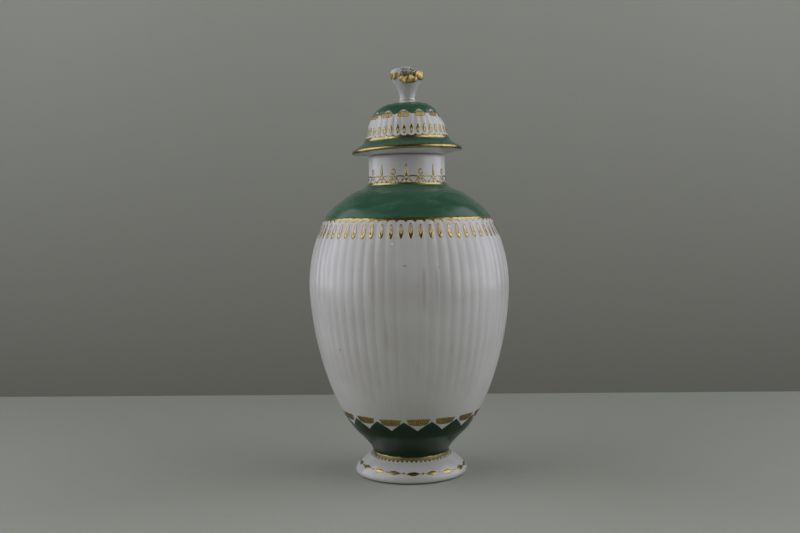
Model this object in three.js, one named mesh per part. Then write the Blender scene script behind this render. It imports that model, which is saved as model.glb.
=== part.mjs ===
// Reeded porcelain tea canister with a domed cover and a flower knob.
// Millimetres, +Z up. The origin is the centre of the ring that the foot stands on.
//
// The maker presses the canister, the foot, the cover and its locating flange as separate
// pieces, lutes them together, and builds the knob up from single petals. Each of those
// pieces is one closed mesh here. Angles are measured round the axis from the front (-Y)
// towards the right (+X).
import * as THREE from 'three';

// Heights
const FOOT_TOP = 7.85;         // where the canister is luted to its foot
const WAIST_Z = 9.4;           // narrowest place above the foot
const BELLY_Z = 77.3;          // widest place
const RIM_Z = 129.8;           // mouth of the neck, on which the cover sits
const BLOOM_Z = 160.8;         // flat top of the knob's trumpet, which carries the petals
const TOTAL_HEIGHT = 165.8;    // top of the flower's stamens

// Foot
const FOOT_R = 22.8;
const FOOT_EDGE_Z = 1.1;
const FOOT_TOP_R = 15.95;
const STANDING_RING = { inner: 18.4, outer: 21.8 };
const RECESS = { r: 14, wall: 17.6, z: 4.8 };

// Canister
const WAIST_R = 15.6;
const FLARE = { r: 23.6, z: 19.2 };     // the stem's flare turns into the body here
const BELLY_R = 40.95;
const SHOULDER = { r: 20.5, z: 115.4 }; // the shoulder starts to turn up into the neck here
const NECK = { r: 15.75, z: 119.7 };    // radius of the neck, and where it gets upright
const THROAT_R = 12.7;
const BELLY_HOLLOW_R = 38;
const HOLLOW_SHOULDER_Z = 114.1;
const FLOOR = { r: 7, z: 12.4 };
const LIP_ROUND = 0.8;

// Reeding of the canister: round-ended ribs, side by side
const BODY_REEDS = {
  count: 60,
  turn: 0.8,                   // degrees from the front to the nearest crest
  relief: 0.4 / BELLY_R,       // crest above furrow, as a share of the radius
  fade: 25.3,                  // the reeds grow out of the plain stem from here
  full: 29.4,                  // up to here
  tip: 103.5,                  // top of their round ends
  rowSpread: 0.8,              // below 1, the rows of facets get closer towards the tip
};

// Cover, with heights above the mouth of the neck
const BRIM_R = 22.4;
const BRIM_EDGE = { low: 1.5, mid: 2.1, top: 2.65 };
const SEAT_R = 16.2;
const SKIRT = { r: 17.2, h: 5.6 };      // the bell of the cover meets its flared brim here
const DOME_SIDE = { r: 16.1, h: 9.4 };
const KNOB_PAD = { r: 4.3, h: 21.4 };
const HOLLOW = { r: 13.2, h: 9, top: 18.6 };
const COVER_REEDS = {
  count: 36, turn: -4, relief: 0.02, fade: 17.2, full: 15.3, tip: 6.4, rowSpread: 1.2,
};
const LEAN_LEFT = 0.033;       // the firing let the cover sink: its left side is lower by this
                               // share of the radius
const BRIM_WARP = 0.25;        // and its brim is higher in front and behind than at its sides

// Locating flange, which drops into the neck
const FLANGE = { outer: 11.9, bore: 10.2, depth: 7, chamfer: 0.5 };

// Knob
const KNOB_SHIFT = 0.7;        // the knob is luted on a little to the right of the axis
const KNOB_LEAN = 0.015;       // and leans to the left by this share of its height
const STEM_R = 3.3;
const TRUMPET_R = 5.75;
const OUTER_PETALS = [         // from the front round to the right, shaped by hand
  { turn: 5, crest: 162.2, tip: 158.1 },
  { turn: 63, crest: 164.0, tip: 159.9 },
  { turn: 121, crest: 164.3, tip: 159.5 },
  { turn: 180, crest: 164.6, tip: 159.2 },
  { turn: 240, crest: 164.8, tip: 159.7 },
  { turn: 301, crest: 164.8, tip: 160.1 },
];
const INNER_PETALS = [
  { turn: 36, top: 163.9 },
  { turn: 108, top: 164.9 },
  { turn: 180, top: 165.1 },
  { turn: 252, top: 165.2 },
  { turn: 324, top: 164.3 },
];
const HEART = { root: 1.95, r: 2.3, side: 163.8 };

// Facets
const COLUMNS = { body: 48, foot: 48, cover: 48, flange: 36, knob: 24 };
const PER_REED = 4;            // furrow, flank, crest, flank
const BODY_REED_ROWS = 7;
const COVER_REED_ROWS = 3;
const REED_END_STEPS = [0.45, 0.8, 1];

const PORCELAIN = { color: 0xdedbd4, roughness: 0.22, metalness: 0 };
const GREEN_ENAMEL = { color: 0x2c5e44, roughness: 0.25, metalness: 0 };
const GILDED = { color: 0xb8924a, roughness: 0.35, metalness: 0.9 };
const STIPPLED = { color: 0xa39a86, roughness: 0.5, metalness: 0 };

const canister = new THREE.Group();

function addPiece(name, geometry, look) {
  const piece = new THREE.Mesh(geometry, new THREE.MeshStandardMaterial(look));
  piece.name = name;
  canister.add(piece);
}

function closedGeometry(points, faces) {
  const geometry = new THREE.BufferGeometry();
  geometry.setFromPoints(points);
  geometry.setIndex(faces);
  geometry.computeVertexNormals();
  return geometry;
}

function clamp01(x) {
  return Math.min(1, Math.max(0, x));
}

// Point at radius r, angle a (radians from the front) and height z.
function at(r, a, z) {
  return new THREE.Vector3(r * Math.sin(a), -r * Math.cos(a), z);
}

// Points [r, z] along a cubic arc, without its first one, so that arcs can be chained.
function arc(p0, p1, p2, p3, steps) {
  const corners = [p0, p1, p2, p3].map((p) => new THREE.Vector2(...p));
  return new THREE.CubicBezierCurve(...corners).getPoints(steps).slice(1).map((p) => [p.x, p.y]);
}

// Rounded corner: a quarter of an ellipse from one point to the other, without the first.
function roundCorner([r0, z0], [r1, z1], steps, bulgeFirst = 'z') {
  return Array.from({ length: steps }, (_, k) => {
    const turn = (Math.PI / 2) * (k + 1) / steps;
    const [first, second] = [Math.sin(turn), 1 - Math.cos(turn)];
    const [r, z] = bulgeFirst === 'z' ? [second, first] : [first, second];
    return [r0 + (r1 - r0) * r, z0 + (z1 - z0) * z];
  });
}

// Radius of a rising or falling outline [[r, z], ...] at the height z.
function radiusAt(outline, z) {
  const k = outline.findIndex((p, i) => i > 0 && (p[1] - z) * (outline[i - 1][1] - z) <= 0);
  const [[r0, z0], [r1, z1]] = [outline[k - 1], outline[k]];
  return r0 + (r1 - r0) * (z - z0) / (z1 - z0);
}

// Turned piece. Its outline runs from the side that faces down, round the outside, to the
// side that faces up, and starts and ends on the axis or closes on itself.
function turned(outline, columns) {
  const points = outline.map(([r, z]) => new THREE.Vector2(r, z));
  return new THREE.LatheGeometry(points, columns).rotateX(Math.PI / 2);
}

// Closed skin over rings of points, which run as a turned piece's outline does. A ring may
// have any number of points, and the first and last are single points on the axis.
function skin(rings) {
  const faces = [];
  let start = 0;
  for (let k = 0; k + 1 < rings.length; k += 1) {
    const [n, m] = [rings[k].length, rings[k + 1].length];
    const [lowTurns, highTurns] = [n === 1 ? 0 : n, m === 1 ? 0 : m];
    const low = (i) => start + (i % n);
    const high = (j) => start + n + (j % m);
    let [i, j] = [0, 0];
    while (i < lowTurns || j < highTurns) {
      if ((i + 0.5) / lowTurns <= (j + 0.5) / highTurns) {
        faces.push(low(i), low(i + 1), high(j));
        i += 1;
      } else {
        faces.push(low(i), high(j + 1), high(j));
        j += 1;
      }
    }
    start += n;
  }
  return closedGeometry(rings.flat(), faces);
}

// Ring of points whose radius may change with the angle.
function ring(columns, radius, z) {
  return Array.from({ length: columns }, (_, i) => {
    const a = 2 * Math.PI * i / columns;
    return at(typeof radius === 'function' ? radius(a) : radius, a, z);
  });
}

// Rings over a reeded part of an outline. Each reed is a low rib with a parabolic section.
// It grows out of the plain surface between fade and full, and ends round at tip.
function reededRings(reeds, outline, rows) {
  const columns = reeds.count * PER_REED;
  const towardsTip = Math.sign(reeds.tip - reeds.full);
  const endLength = Math.PI * radiusAt(outline, reeds.tip) / reeds.count;
  const endStart = reeds.tip - towardsTip * endLength;
  const rung = (k) => reeds.full + (endStart - reeds.full) * (k / rows) ** reeds.rowSpread;
  const levels = [
    { z: reeds.fade, grown: 0, end: 0 },
    ...Array.from({ length: rows + 1 }, (_, k) => ({ z: rung(k), grown: 1, end: 0 })),
    ...REED_END_STEPS.map((end) => ({
      z: endStart + towardsTip * endLength * end, grown: 1, end,
    })),
  ];
  const turn = THREE.MathUtils.degToRad(reeds.turn);
  return levels.map(({ z, grown, end }) => {
    const plain = radiusAt(outline, z);
    return Array.from({ length: columns }, (_, i) => {
      const across = 2 * (i % PER_REED) / PER_REED - (i % PER_REED > PER_REED / 2 ? 2 : 0);
      const rib = Math.max(0, 1 - across * across - end * end);
      const relief = reeds.relief * plain * grown * (rib - 0.5 * (1 - end));
      return at(plain + relief, turn + 2 * Math.PI * i / columns, z);
    });
  });
}

function canisterBody() {
  const { body: columns } = COLUMNS;
  const stem = arc([WAIST_R, WAIST_Z], [WAIST_R, 11.9], [22.2, 17.35], [FLARE.r, FLARE.z], 4);
  const bowl = arc([FLARE.r, FLARE.z], [40.1, 41], [BELLY_R, 74], [BELLY_R, BELLY_Z], 16);
  const shoulder = arc(
    [BELLY_R, BELLY_Z], [BELLY_R, 88.7], [36.8, 109.75], [SHOULDER.r, SHOULDER.z], 16);
  const neckFillet = arc(
    [SHOULDER.r, SHOULDER.z], [18.7, 116], [NECK.r, 116.8], [NECK.r, NECK.z], 3);
  const below = [[WAIST_R + 0.15, FOOT_TOP], [WAIST_R, WAIST_Z], ...stem];
  const wall = [[FLARE.r, FLARE.z], ...bowl, ...shoulder];
  const above = shoulder.filter((p, i) => p[1] > BODY_REEDS.tip + 1 && i % 2 === 1);
  const lip = [
    [NECK.r, RIM_Z - LIP_ROUND],
    ...roundCorner([NECK.r, RIM_Z - LIP_ROUND], [NECK.r - LIP_ROUND, RIM_Z], 2),
    [THROAT_R + LIP_ROUND, RIM_Z],
    ...roundCorner([THROAT_R + LIP_ROUND, RIM_Z], [THROAT_R, RIM_Z - LIP_ROUND], 2, 'r'),
  ];
  const hollow = [
    [THROAT_R, HOLLOW_SHOULDER_Z],
    ...arc([THROAT_R, HOLLOW_SHOULDER_Z], [34.4, 113.9], [BELLY_HOLLOW_R, 88.5],
      [BELLY_HOLLOW_R, BELLY_Z], 4),
    ...arc([BELLY_HOLLOW_R, BELLY_Z], [BELLY_HOLLOW_R, 39.5], [19, FLOOR.z],
      [FLOOR.r, FLOOR.z], 5),
  ];
  const plainRings = (outline) => outline.map(([r, z]) => ring(columns, r, z));
  return skin([
    [at(0, 0, FOOT_TOP)],
    ...plainRings(below),
    ...reededRings(BODY_REEDS, wall, BODY_REED_ROWS),
    ...plainRings([...above, ...neckFillet, ...lip, ...hollow]),
    [at(0, 0, FLOOR.z)],
  ]);
}

function pedestalFoot() {
  return turned([
    [0, RECESS.z],
    [RECESS.r, RECESS.z],
    [RECESS.wall, RECESS.z / 2],
    [STANDING_RING.inner, 0],
    [STANDING_RING.outer, 0],
    ...roundCorner([STANDING_RING.outer, 0], [FOOT_R, FOOT_EDGE_Z], 2, 'r'),
    ...arc([FOOT_R, FOOT_EDGE_Z], [FOOT_R, 3.8], [19.4, 5.8], [FOOT_TOP_R, FOOT_TOP], 5),
    [0, FOOT_TOP],
  ], COLUMNS.foot);
}

// Lets a ring of the cover sink in the firing: settled is 0 at the seat and 1 at the brim.
function sunk(points, settled) {
  return points.map(({ x, y, z }) => {
    const r = Math.hypot(x, y);
    const warp = BRIM_WARP * clamp01((r - SKIRT.r) / (BRIM_R - SKIRT.r)) * (y * y - x * x) / (r * r);
    return new THREE.Vector3(x, y, z + settled * (LEAN_LEFT * x + warp));
  });
}

function cover() {
  const { cover: columns } = COLUMNS;
  const up = (outline) => outline.map(([r, h]) => [r, RIM_Z + h]);
  const ceiling = arc([0, HOLLOW.top], [8, HOLLOW.top], [12.7, 14.2], [HOLLOW.r, HOLLOW.h], 3);
  const underside = arc([SEAT_R, 0], [18.5, 0.5], [20.5, 1.1], [BRIM_R - 0.4, BRIM_EDGE.low], 2);
  const brim = arc([BRIM_R - 0.1, BRIM_EDGE.top], [20, 3.9], [17.5, 4.6], [SKIRT.r, SKIRT.h], 3);
  const bell = arc([SKIRT.r, SKIRT.h], [16.9, 6.9], [16.3, 7.9], [DOME_SIDE.r, DOME_SIDE.h], 3);
  const dome = arc(
    [DOME_SIDE.r, DOME_SIDE.h], [15.4, 16.9], [10.6, 21.4], [KNOB_PAD.r, KNOB_PAD.h], 12);
  const side = up([[SKIRT.r, SKIRT.h], ...bell, ...dome]);
  const crown = up(dome).filter((p, i) => p[1] > RIM_Z + COVER_REEDS.fade + 0.5 && i % 2 === 0);
  const reeds = Object.fromEntries(Object.entries(COVER_REEDS).map(
    ([key, value]) => [key, ['fade', 'full', 'tip'].includes(key) ? RIM_Z + value : value]));
  const settledRings = (outline, settled) => up(outline).map(
    ([r, z]) => sunk(ring(columns, r, z), settled(r)));
  const fromSeat = (r) => clamp01((r - SEAT_R) / (BRIM_R - SEAT_R));
  return skin([
    [at(0, 0, RIM_Z + HOLLOW.top)],
    ...settledRings(ceiling, () => 1),
    ...settledRings([[FLANGE.bore + 0.9, 2], [FLANGE.bore, 0], [SEAT_R, 0]], () => 0),
    ...settledRings(underside, fromSeat),
    ...settledRings([[BRIM_R, BRIM_EDGE.mid], [BRIM_R - 0.1, BRIM_EDGE.top]], () => 1),
    ...settledRings(brim, () => 1),
    ...reededRings(reeds, side, COVER_REED_ROWS).reverse().map((points) => sunk(points, 1)),
    ...crown.map(([r, z]) => sunk(ring(columns, r, z), 1)),
    ring(columns, KNOB_PAD.r, RIM_Z + KNOB_PAD.h),
    [at(0, 0, RIM_Z + KNOB_PAD.h)],
  ]);
}

function locatingFlange() {
  const [low, high] = [RIM_Z - FLANGE.depth, RIM_Z];
  return turned([
    [FLANGE.bore + FLANGE.chamfer, low],
    [FLANGE.outer - FLANGE.chamfer, low],
    [FLANGE.outer, low + FLANGE.chamfer],
    [FLANGE.outer, high],
    [FLANGE.bore, high],
    [FLANGE.bore, low + FLANGE.chamfer],
    [FLANGE.bore + FLANGE.chamfer, low],
  ], COLUMNS.flange);
}

// Moves a piece of the knob to its place: a shift to the right, and a lean to the left that
// grows with the height above the dome.
function onKnob(geometry) {
  const seat = RIM_Z + KNOB_PAD.h;
  const lean = new THREE.Matrix4().set(
    1, 0, -KNOB_LEAN, KNOB_SHIFT + KNOB_LEAN * seat,
    0, 1, 0, 0,
    0, 0, 1, 0,
    0, 0, 0, 1);
  return geometry.applyMatrix4(lean);
}

function knobStem() {
  const seat = RIM_Z + KNOB_PAD.h;
  return onKnob(turned([
    [0, seat],
    [STEM_R, seat],
    [STEM_R + 0.05, seat + 1.1],
    [STEM_R - 0.15, seat + 1.7],
    ...arc([STEM_R - 0.15, seat + 1.7], [STEM_R, 156.6], [4.6, 158], [TRUMPET_R, BLOOM_Z], 5),
    [0, BLOOM_Z],
  ], COLUMNS.knob));
}

// Closed sheet between the surfaces upper(u, v) and lower(u, v), where u runs to the right
// and v away from the axis.
function sheet(upper, lower, nu, nv) {
  const points = [];
  for (const surface of [upper, lower]) {
    for (let i = 0; i <= nu; i += 1) {
      for (let j = 0; j <= nv; j += 1) points.push(surface(i / nu, j / nv));
    }
  }
  const top = (i, j) => i * (nv + 1) + j;
  const under = (k) => k + (nu + 1) * (nv + 1);
  const faces = [];
  for (let i = 0; i < nu; i += 1) {
    for (let j = 0; j < nv; j += 1) {
      const [a, b, c, d] = [top(i, j), top(i, j + 1), top(i + 1, j + 1), top(i + 1, j)];
      faces.push(a, b, c, a, c, d);
      faces.push(under(a), under(c), under(b), under(a), under(d), under(c));
    }
  }
  const border = [];
  for (let j = 0; j < nv; j += 1) border.push(top(0, j));
  for (let i = 0; i < nu; i += 1) border.push(top(i, nv));
  for (let j = nv; j > 0; j -= 1) border.push(top(nu, j));
  for (let i = nu; i > 0; i -= 1) border.push(top(i, 0));
  border.forEach((p, k) => {
    const q = border[(k + 1) % border.length];
    faces.push(q, p, under(p), q, under(p), under(q));
  });
  return closedGeometry(points, faces);
}

// Petal: a strip of paste that stands on the trumpet and follows a curve, drawn by
// section(s), from its root to its tip. s runs from -1 to 1 across the petal.
function petal(turn, halfWidth, section, thickness, nu, nv) {
  const surface = (side) => (u, v) => {
    const s = 2 * u - 1;
    const curve = section(s);
    const point = curve.getPoint(v);
    const along = v === 0 ? new THREE.Vector2(0, 1) : curve.getTangent(v);
    const half = side * 0.5 * thickness * (1 - 0.4 * v);
    const r = point.x - along.y * half;
    return at(r, THREE.MathUtils.degToRad(turn + halfWidth * s), point.y + along.x * half);
  };
  return onKnob(sheet(surface(1), surface(-1), nu, nv));
}

function outerPetal({ turn, crest, tip }) {
  const section = (s) => {
    const height = crest + 0.9 - 0.7 * s * s;
    return new THREE.CubicBezierCurve(
      new THREE.Vector2(3.9, BLOOM_Z), new THREE.Vector2(4.3, height),
      new THREE.Vector2(7.5 - 0.6 * s * s, height),
      new THREE.Vector2(6.15 - 0.15 * s * s, tip + 1.1 * s * s));
  };
  return petal(turn, 28, section, 0.9, 5, 5);
}

function innerPetal({ turn, top }) {
  const section = (s) => new THREE.CubicBezierCurve(
    new THREE.Vector2(2.6, BLOOM_Z), new THREE.Vector2(2.6, (BLOOM_Z + top) / 2),
    new THREE.Vector2(3, top - 0.4 - 0.8 * s * s), new THREE.Vector2(4, top - 0.8 * s * s));
  return petal(turn, 33, section, 0.7, 5, 4);
}

// Heart of the flower: a mound of stamens, lobed all round.
function flowerHeart() {
  const lobes = (r, count) => (a) => r * (1 + 0.06 * Math.cos(count * a));
  const { knob: columns } = COLUMNS;
  return onKnob(skin([
    [at(0, 0, BLOOM_Z)],
    ring(columns, HEART.root, BLOOM_Z),
    ring(columns, lobes(HEART.r, 8), HEART.side),
    ring(columns, lobes(0.82 * HEART.r, 6), HEART.side + 1.1),
    ring(columns, lobes(0.45 * HEART.r, 4), TOTAL_HEIGHT - 0.2),
    [at(0, 0, TOTAL_HEIGHT)],
  ]));
}

addPiece('canister_body', canisterBody(), PORCELAIN);
addPiece('pedestal_foot', pedestalFoot(), PORCELAIN);
addPiece('cover', cover(), GREEN_ENAMEL);
addPiece('locating_flange', locatingFlange(), PORCELAIN);
addPiece('knob_stem', knobStem(), PORCELAIN);
OUTER_PETALS.forEach((shape, i) => addPiece(`outer_petal_${i + 1}`, outerPetal(shape), GILDED));
INNER_PETALS.forEach((shape, i) => addPiece(`inner_petal_${i + 1}`, innerPetal(shape), PORCELAIN));
addPiece('flower_heart', flowerHeart(), STIPPLED);

export default canister;
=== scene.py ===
"""Dressed model of the reeded porcelain tea canister, in the frame of its CAD model.

Shapes are worked out in millimetres. Angles are degrees round the axis, from the front (-Y) towards
the right (+X).
"""
import math
import random

import bmesh
import bpy
import numpy as np
from mathutils import Matrix, Vector


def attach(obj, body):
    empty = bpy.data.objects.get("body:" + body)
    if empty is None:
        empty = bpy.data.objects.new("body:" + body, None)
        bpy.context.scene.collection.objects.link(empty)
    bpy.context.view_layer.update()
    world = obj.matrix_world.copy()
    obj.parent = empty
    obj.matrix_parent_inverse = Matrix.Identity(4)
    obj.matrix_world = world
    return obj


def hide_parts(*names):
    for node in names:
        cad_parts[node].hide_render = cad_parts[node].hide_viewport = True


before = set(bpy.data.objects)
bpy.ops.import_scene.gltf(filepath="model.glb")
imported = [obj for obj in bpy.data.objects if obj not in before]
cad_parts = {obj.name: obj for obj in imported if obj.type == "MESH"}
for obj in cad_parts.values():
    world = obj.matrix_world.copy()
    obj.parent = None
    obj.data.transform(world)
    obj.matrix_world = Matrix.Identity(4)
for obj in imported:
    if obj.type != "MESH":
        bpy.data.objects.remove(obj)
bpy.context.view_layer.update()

bl_info = {
    "name": "Reeded tea canister",
    "version": (1, 0, 0),
    "blender": (4, 5, 0),
    "location": "3D View > Sidebar > Canister",
    "description": "Builds a reeded porcelain tea canister with green grounds and gilding",
    "category": "Add Mesh",
}

MM = 0.001

# Heights and radii of the CAD model, mm
STANDING_R = 21.8
FOOT_R, FOOT_EDGE_Z = 22.8, 1.1
FOOT_TOP_R, FOOT_TOP = 15.95, 7.85
RECESS_Z = 4.8
WAIST_R, WAIST_Z = 15.6, 9.4
FLARE = (23.6, 19.2)
BELLY_R, BELLY_Z = 40.95, 77.3
SHOULDER = (20.5, 115.4)
NECK_R, NECK_Z = 15.75, 119.7
RIM_R, RIM_Z = 15.4, 129.8
THROAT_R = 12.7
HOLLOW_R, HOLLOW_TOP, FLOOR_Z = 38, 114.1, 12.4
LIP_ROUND = 0.8
BRIM_R, BRIM_UNDER, BRIM_TOP = 22.4, 1.5, 2.65   # radius of its rim, and heights above the mouth
SKIRT = (17.35, 5.9)
FLANGE_IN, FLANGE_OUT, FLANGE_DEPTH = 10.2, 11.9, 7
DOME_SIDE, DOME_TOP = (16.0, 9.4), (5.0, 20.9)
CEILING_H = 18.6
KNOB_PAD_R, KNOB_SEAT = 3.8, 151.2
BLOOM_Z = 160.8
LEAN_LEFT, BRIM_WARP, COVER_ASIDE = 0.033, 0.25, 0.2   # how the cover sank in the firing
KNOB_SHIFT, KNOB_LEAN = 0.7, 0.015
OUTER_PETALS = [                # turn, reach, crest, tip, and the height below which the lip is gilded
    (5, 7.5, 161.3, 158.25, 163.0), (63, 7.6, 163.3, 159.9, 163.2), (121, 7.5, 163.6, 160.4, 163.0),
    (180, 7.3, 164.3, 160.0, 163.0), (240, 6.9, 164.2, 160.6, 162.8), (301, 7.0, 164.4, 160.1, 162.5),
]
INNER_PETALS = [(36, 163.4), (108, 164.9), (180, 165.1), (252, 165.2), (324, 163.8)]  # turn, top
HEART_R, HEART_SIDE, HEART_TOP, HEART_REACH = 2.3, 163.2, 165.7, 3.2

# Finer shapes than the CAD model has, mm
BODY_BOW = 0.35                         # how far the body bends to the right above the foot
HOLLOWING = 0.28                        # how deep the reeded part lies below the plain shoulder
SHOULDER_FLAT = 0.8                     # how far the shoulder is drawn in below the neck
OUTER_LIP = (1.8, 1.3)                  # breadth and height of the rounding outside the mouth
SEAT_IN = 13.7                          # where the underside of the brim starts to rise
DOME_DENT = 0.075                       # how much narrower the top of the dome is at its right

# Reeding: nearest crest to the front, and heights where the reeds fade in, are full and end
BODY_TURN, BODY_FADE, BODY_FULL, BODY_TIP = 1.3, 25.3, 60, 103.5
COVER_TURN, COVER_FADE, COVER_FULL, COVER_TIP = -4.0, 17.2, 15.3, 7.0
COVER_RELIEF = 0.013

# Painted bands of the vessel and its foot, mm
LOZENGE_Z, LOZENGE_SLOPE, BEADS_Z = 4.05, 0.55, 7.6
LOZENGE_HALF, LOZENGE_TALL = 3.2, 1.75
BEAD_HALF_WIDTH, BEAD_HALF_HEIGHT = 0.56, 0.45
WAIST_RING = (7.9, 9.4)
BASE_GREEN = (9.0, 21.9, 25.9)          # its foot, the tips of its notches and its peaks
SHELL_BAND, SHELL_HALF = (24.35, 27.15), 4.4
DROP_BAND = (97.0, 102.6)
DROP_HALF, DROP_HOLE_HALF = 1.02, 0.56
SHOULDER_LINE = (102.95, 103.9, 104.9)   # in the furrows, over the reeds, and its upper edge
SHOULDER_GREEN = (104.5, 117.9)
NECK_LINE = (117.65, 118.5)
# Painted bands of the cover, mm above the mouth of the neck
BRIM_LINE = (1.5, 2.95)
BRIM_GREEN = (2.7, 6.3)
SKIRT_LINE = (5.9, 6.95)
OVAL_BAND = (7.9, 11.3)
OVAL_HALF, OVAL_HOLE_HALF = 0.85, 0.3
COVER_SHELL_BAND = (14.4, 16.8)
SCALLOPS = (15.7, 17.4)                 # where the green dips, and where it is highest

WASH_PROUD, SHELL_GROUND_PROUD = 0.03, 0.02   # how far thin gold stands above the glaze, mm
RING_COLUMNS = 240                      # points round a plain painted ring

# Counts and angles of the ornament. What is in front is spaced unevenly, as the gilder's eye had it
SHELLS, SHELL_TURN = 16, 4.8
SHELL_RIBS, COVER_SHELL_RIBS = 10, 7
BEADS = 54
SPIRES_IN_FRONT, BACK_SPIRES = [-39.7, -1.4, 41.1], 6            # of the border round the neck
LOZENGES_IN_FRONT, BACK_LOZENGES = [-78, -58.5, -38, -19.7, 1.7, 22.3, 41.2, 63.5, 80], 9
LOBES_IN_FRONT, BACK_LOBES = [-62, -34.3, -5.2, 22, 51, 77], 7   # of the green ground on the cover

GLAZE_SPECKS_AND_SHEENS = [                         # angle, height, radius, stretch upwards and colour; a painted glint and painted reflection streaks among them
    (-2.6, 87.0, 1.1, 0.45, "#99905A"),
    # Painted highlight: a white glint on the glaze
    (-9.7, 95.1, 0.6, 1, "#FFFFFF"),
    (-46.1, 54.3, 0.4, 2.2, "#55524A"),
    (-47.0, 43.0, 0.35, 1, "#7A7064"),
    (20.5, 97.5, 0.3, 1, "#75707A"),
    (33.5, 63.5, 0.3, 1, "#7B746A"),
    (16.1, 86.3, 0.35, 1, "#77727A"),
    # Painted reflections: long upright streaks in the glaze over the reeds
    (-19.5, 82.0, 1.1, 14, "#B9AFA9"),
    (7.5, 80.0, 1.1, 13, "#BBB4B0"),
    (14.3, 81.0, 1.0, 14, "#B8B4BA"),
    (-13.5, 60.0, 1.2, 12, "#BEB7AE"),
    (24.0, 55.0, 1.1, 12, "#C6C2BC"),
]
LAMPS = [       # name, degrees round the canister, width in m, share of the softboxes' power, colour
    ("softbox_left", -88, 1.1, 1, "#F2F4FF"), ("softbox_right", 88, 1.1, 1, "#F2F4FF"),
    ("dim_panel_left", -43, 0.29, 0.08, "#F5F6E6"), ("dim_panel_right", 43, 0.29, 0.08, "#F5F6E6"),
]
ROOM_COLOUR = "#EADCBE"


def linear(code):
    """Linear colour of an sRGB hex value."""
    parts = [int(code[i:i + 2], 16) / 255 for i in (1, 3, 5)]
    return [c / 12.92 if c <= 0.04045 else ((c + 0.055) / 1.055) ** 2.4 for c in parts]


def colour_property(name, description, code):
    """A colour that a user can change."""
    return bpy.props.FloatVectorProperty(
        name=name, description=description, subtype="COLOR", size=3, default=linear(code), min=0, max=1)


class CANISTER_PG_sizes(bpy.types.PropertyGroup):
    """Sizes of the reeding and of the painted layers."""
    body_reeds: bpy.props.IntProperty(
        name="Body reeds", description="Number of reeds round the canister", default=60, min=24, max=96)
    cover_reeds: bpy.props.IntProperty(
        name="Cover reeds", description="Number of reeds round the cover", default=36, min=12, max=60)
    body_relief: bpy.props.FloatProperty(
        name="Body relief", description="Height of a reed's crest above its furrow at the belly",
        default=0.2 * MM, unit="LENGTH", precision=5)
    gold_thickness: bpy.props.FloatProperty(
        name="Gold thickness", description="How far the gilding stands above the glaze",
        default=0.06 * MM, unit="LENGTH", precision=5)
    enamel_thickness: bpy.props.FloatProperty(
        name="Enamel thickness", description="How far the green enamel stands above the glaze",
        default=0.05 * MM, unit="LENGTH", precision=5)


class CANISTER_PG_colours(bpy.types.PropertyGroup):
    """Colours of the porcelain and of its decoration."""
    porcelain: colour_property("Porcelain", "Glazed porcelain where the glaze is thin", "#D3D2D2")
    # Porcelain of the foot, the flange and the knob, drawn greyer than the body's
    greyer_glaze: colour_property(
        "Thick glaze", "Porcelain of the foot and the knob, greyer under a thicker glaze", "#BEBEBC")
    # Also the colour of the painted shade in the furrows and low on the body
    pooled_glaze_and_shade: colour_property("Pooled glaze", "Glaze that has gathered in the furrows", "#B4B0A8")
    green: colour_property("Green enamel", "Thick green enamel", "#375C48")
    thin_green: colour_property("Thin enamel", "Green enamel where the brush left it thin", "#427056")
    gold: colour_property("Gold", "Burnished gilding", "#AC9B66")
    rubbed_gold: colour_property("Rubbed gold", "Gilding that wear has thinned to brown", "#876B30")
    petal_gold: colour_property(
        "Petal gold", "Gilding of the petals and under the cover's shells, less burnished", "#B49F66")
    gold_wash: colour_property("Gold wash", "Thin wash of gold inside each drop", "#B5A08F")
    stamens: colour_property("Stamens", "Grey-brown stippling in the flower", "#A99C82")


class CANISTER_PG_studio(bpy.types.PropertyGroup):
    """Camera, table, wall and lights."""
    lens: bpy.props.FloatProperty(
        name="Lens", description="Focal length of the camera", default=45.135, unit="CAMERA")
    distance: bpy.props.FloatProperty(
        name="Distance", description="From the camera to the canister's axis",
        default=0.4101, unit="LENGTH", precision=4)
    height: bpy.props.FloatProperty(
        name="Height", description="Height of the camera above the table", default=0.108, unit="LENGTH")
    aside: bpy.props.FloatProperty(
        name="Aside", description="How far the camera stands to the left of the axis",
        default=0.0034, unit="LENGTH", precision=4)
    pitch: bpy.props.FloatProperty(
        name="Pitch", description="How far the camera looks down",
        default=math.radians(3.27), subtype="ANGLE")
    roll: bpy.props.FloatProperty(
        name="Roll", description="How far the camera is tilted to the right",
        default=math.radians(0.9), subtype="ANGLE")
    table: colour_property("Table", "Pale grey table top", "#AEB0A6")
    wall: colour_property("Wall", "Grey wall behind the table, where it is lightest", "#ADAFA5")
    # Colour of the painted shade at the wall's foot, also used for faint blotches
    wall_foot_shade: colour_property("Foot of the wall", "The wall where it gets darker downwards", "#888A80")
    softbox_power: bpy.props.FloatProperty(
        name="Softbox power", description="Power of each of the two large softboxes",
        default=5.5, unit="POWER")
    room_level: bpy.props.FloatProperty(
        name="Room level", description="Strength of the even light of the room", default=0.1)


# Nodes and materials

# Settings that many nodes share: a soft step, a mix of colours and a product
SOFT = {"interpolation_type": "SMOOTHSTEP"}
COLOUR = {"data_type": "RGBA"}
TIMES = {"operation": "MULTIPLY"}


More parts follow.
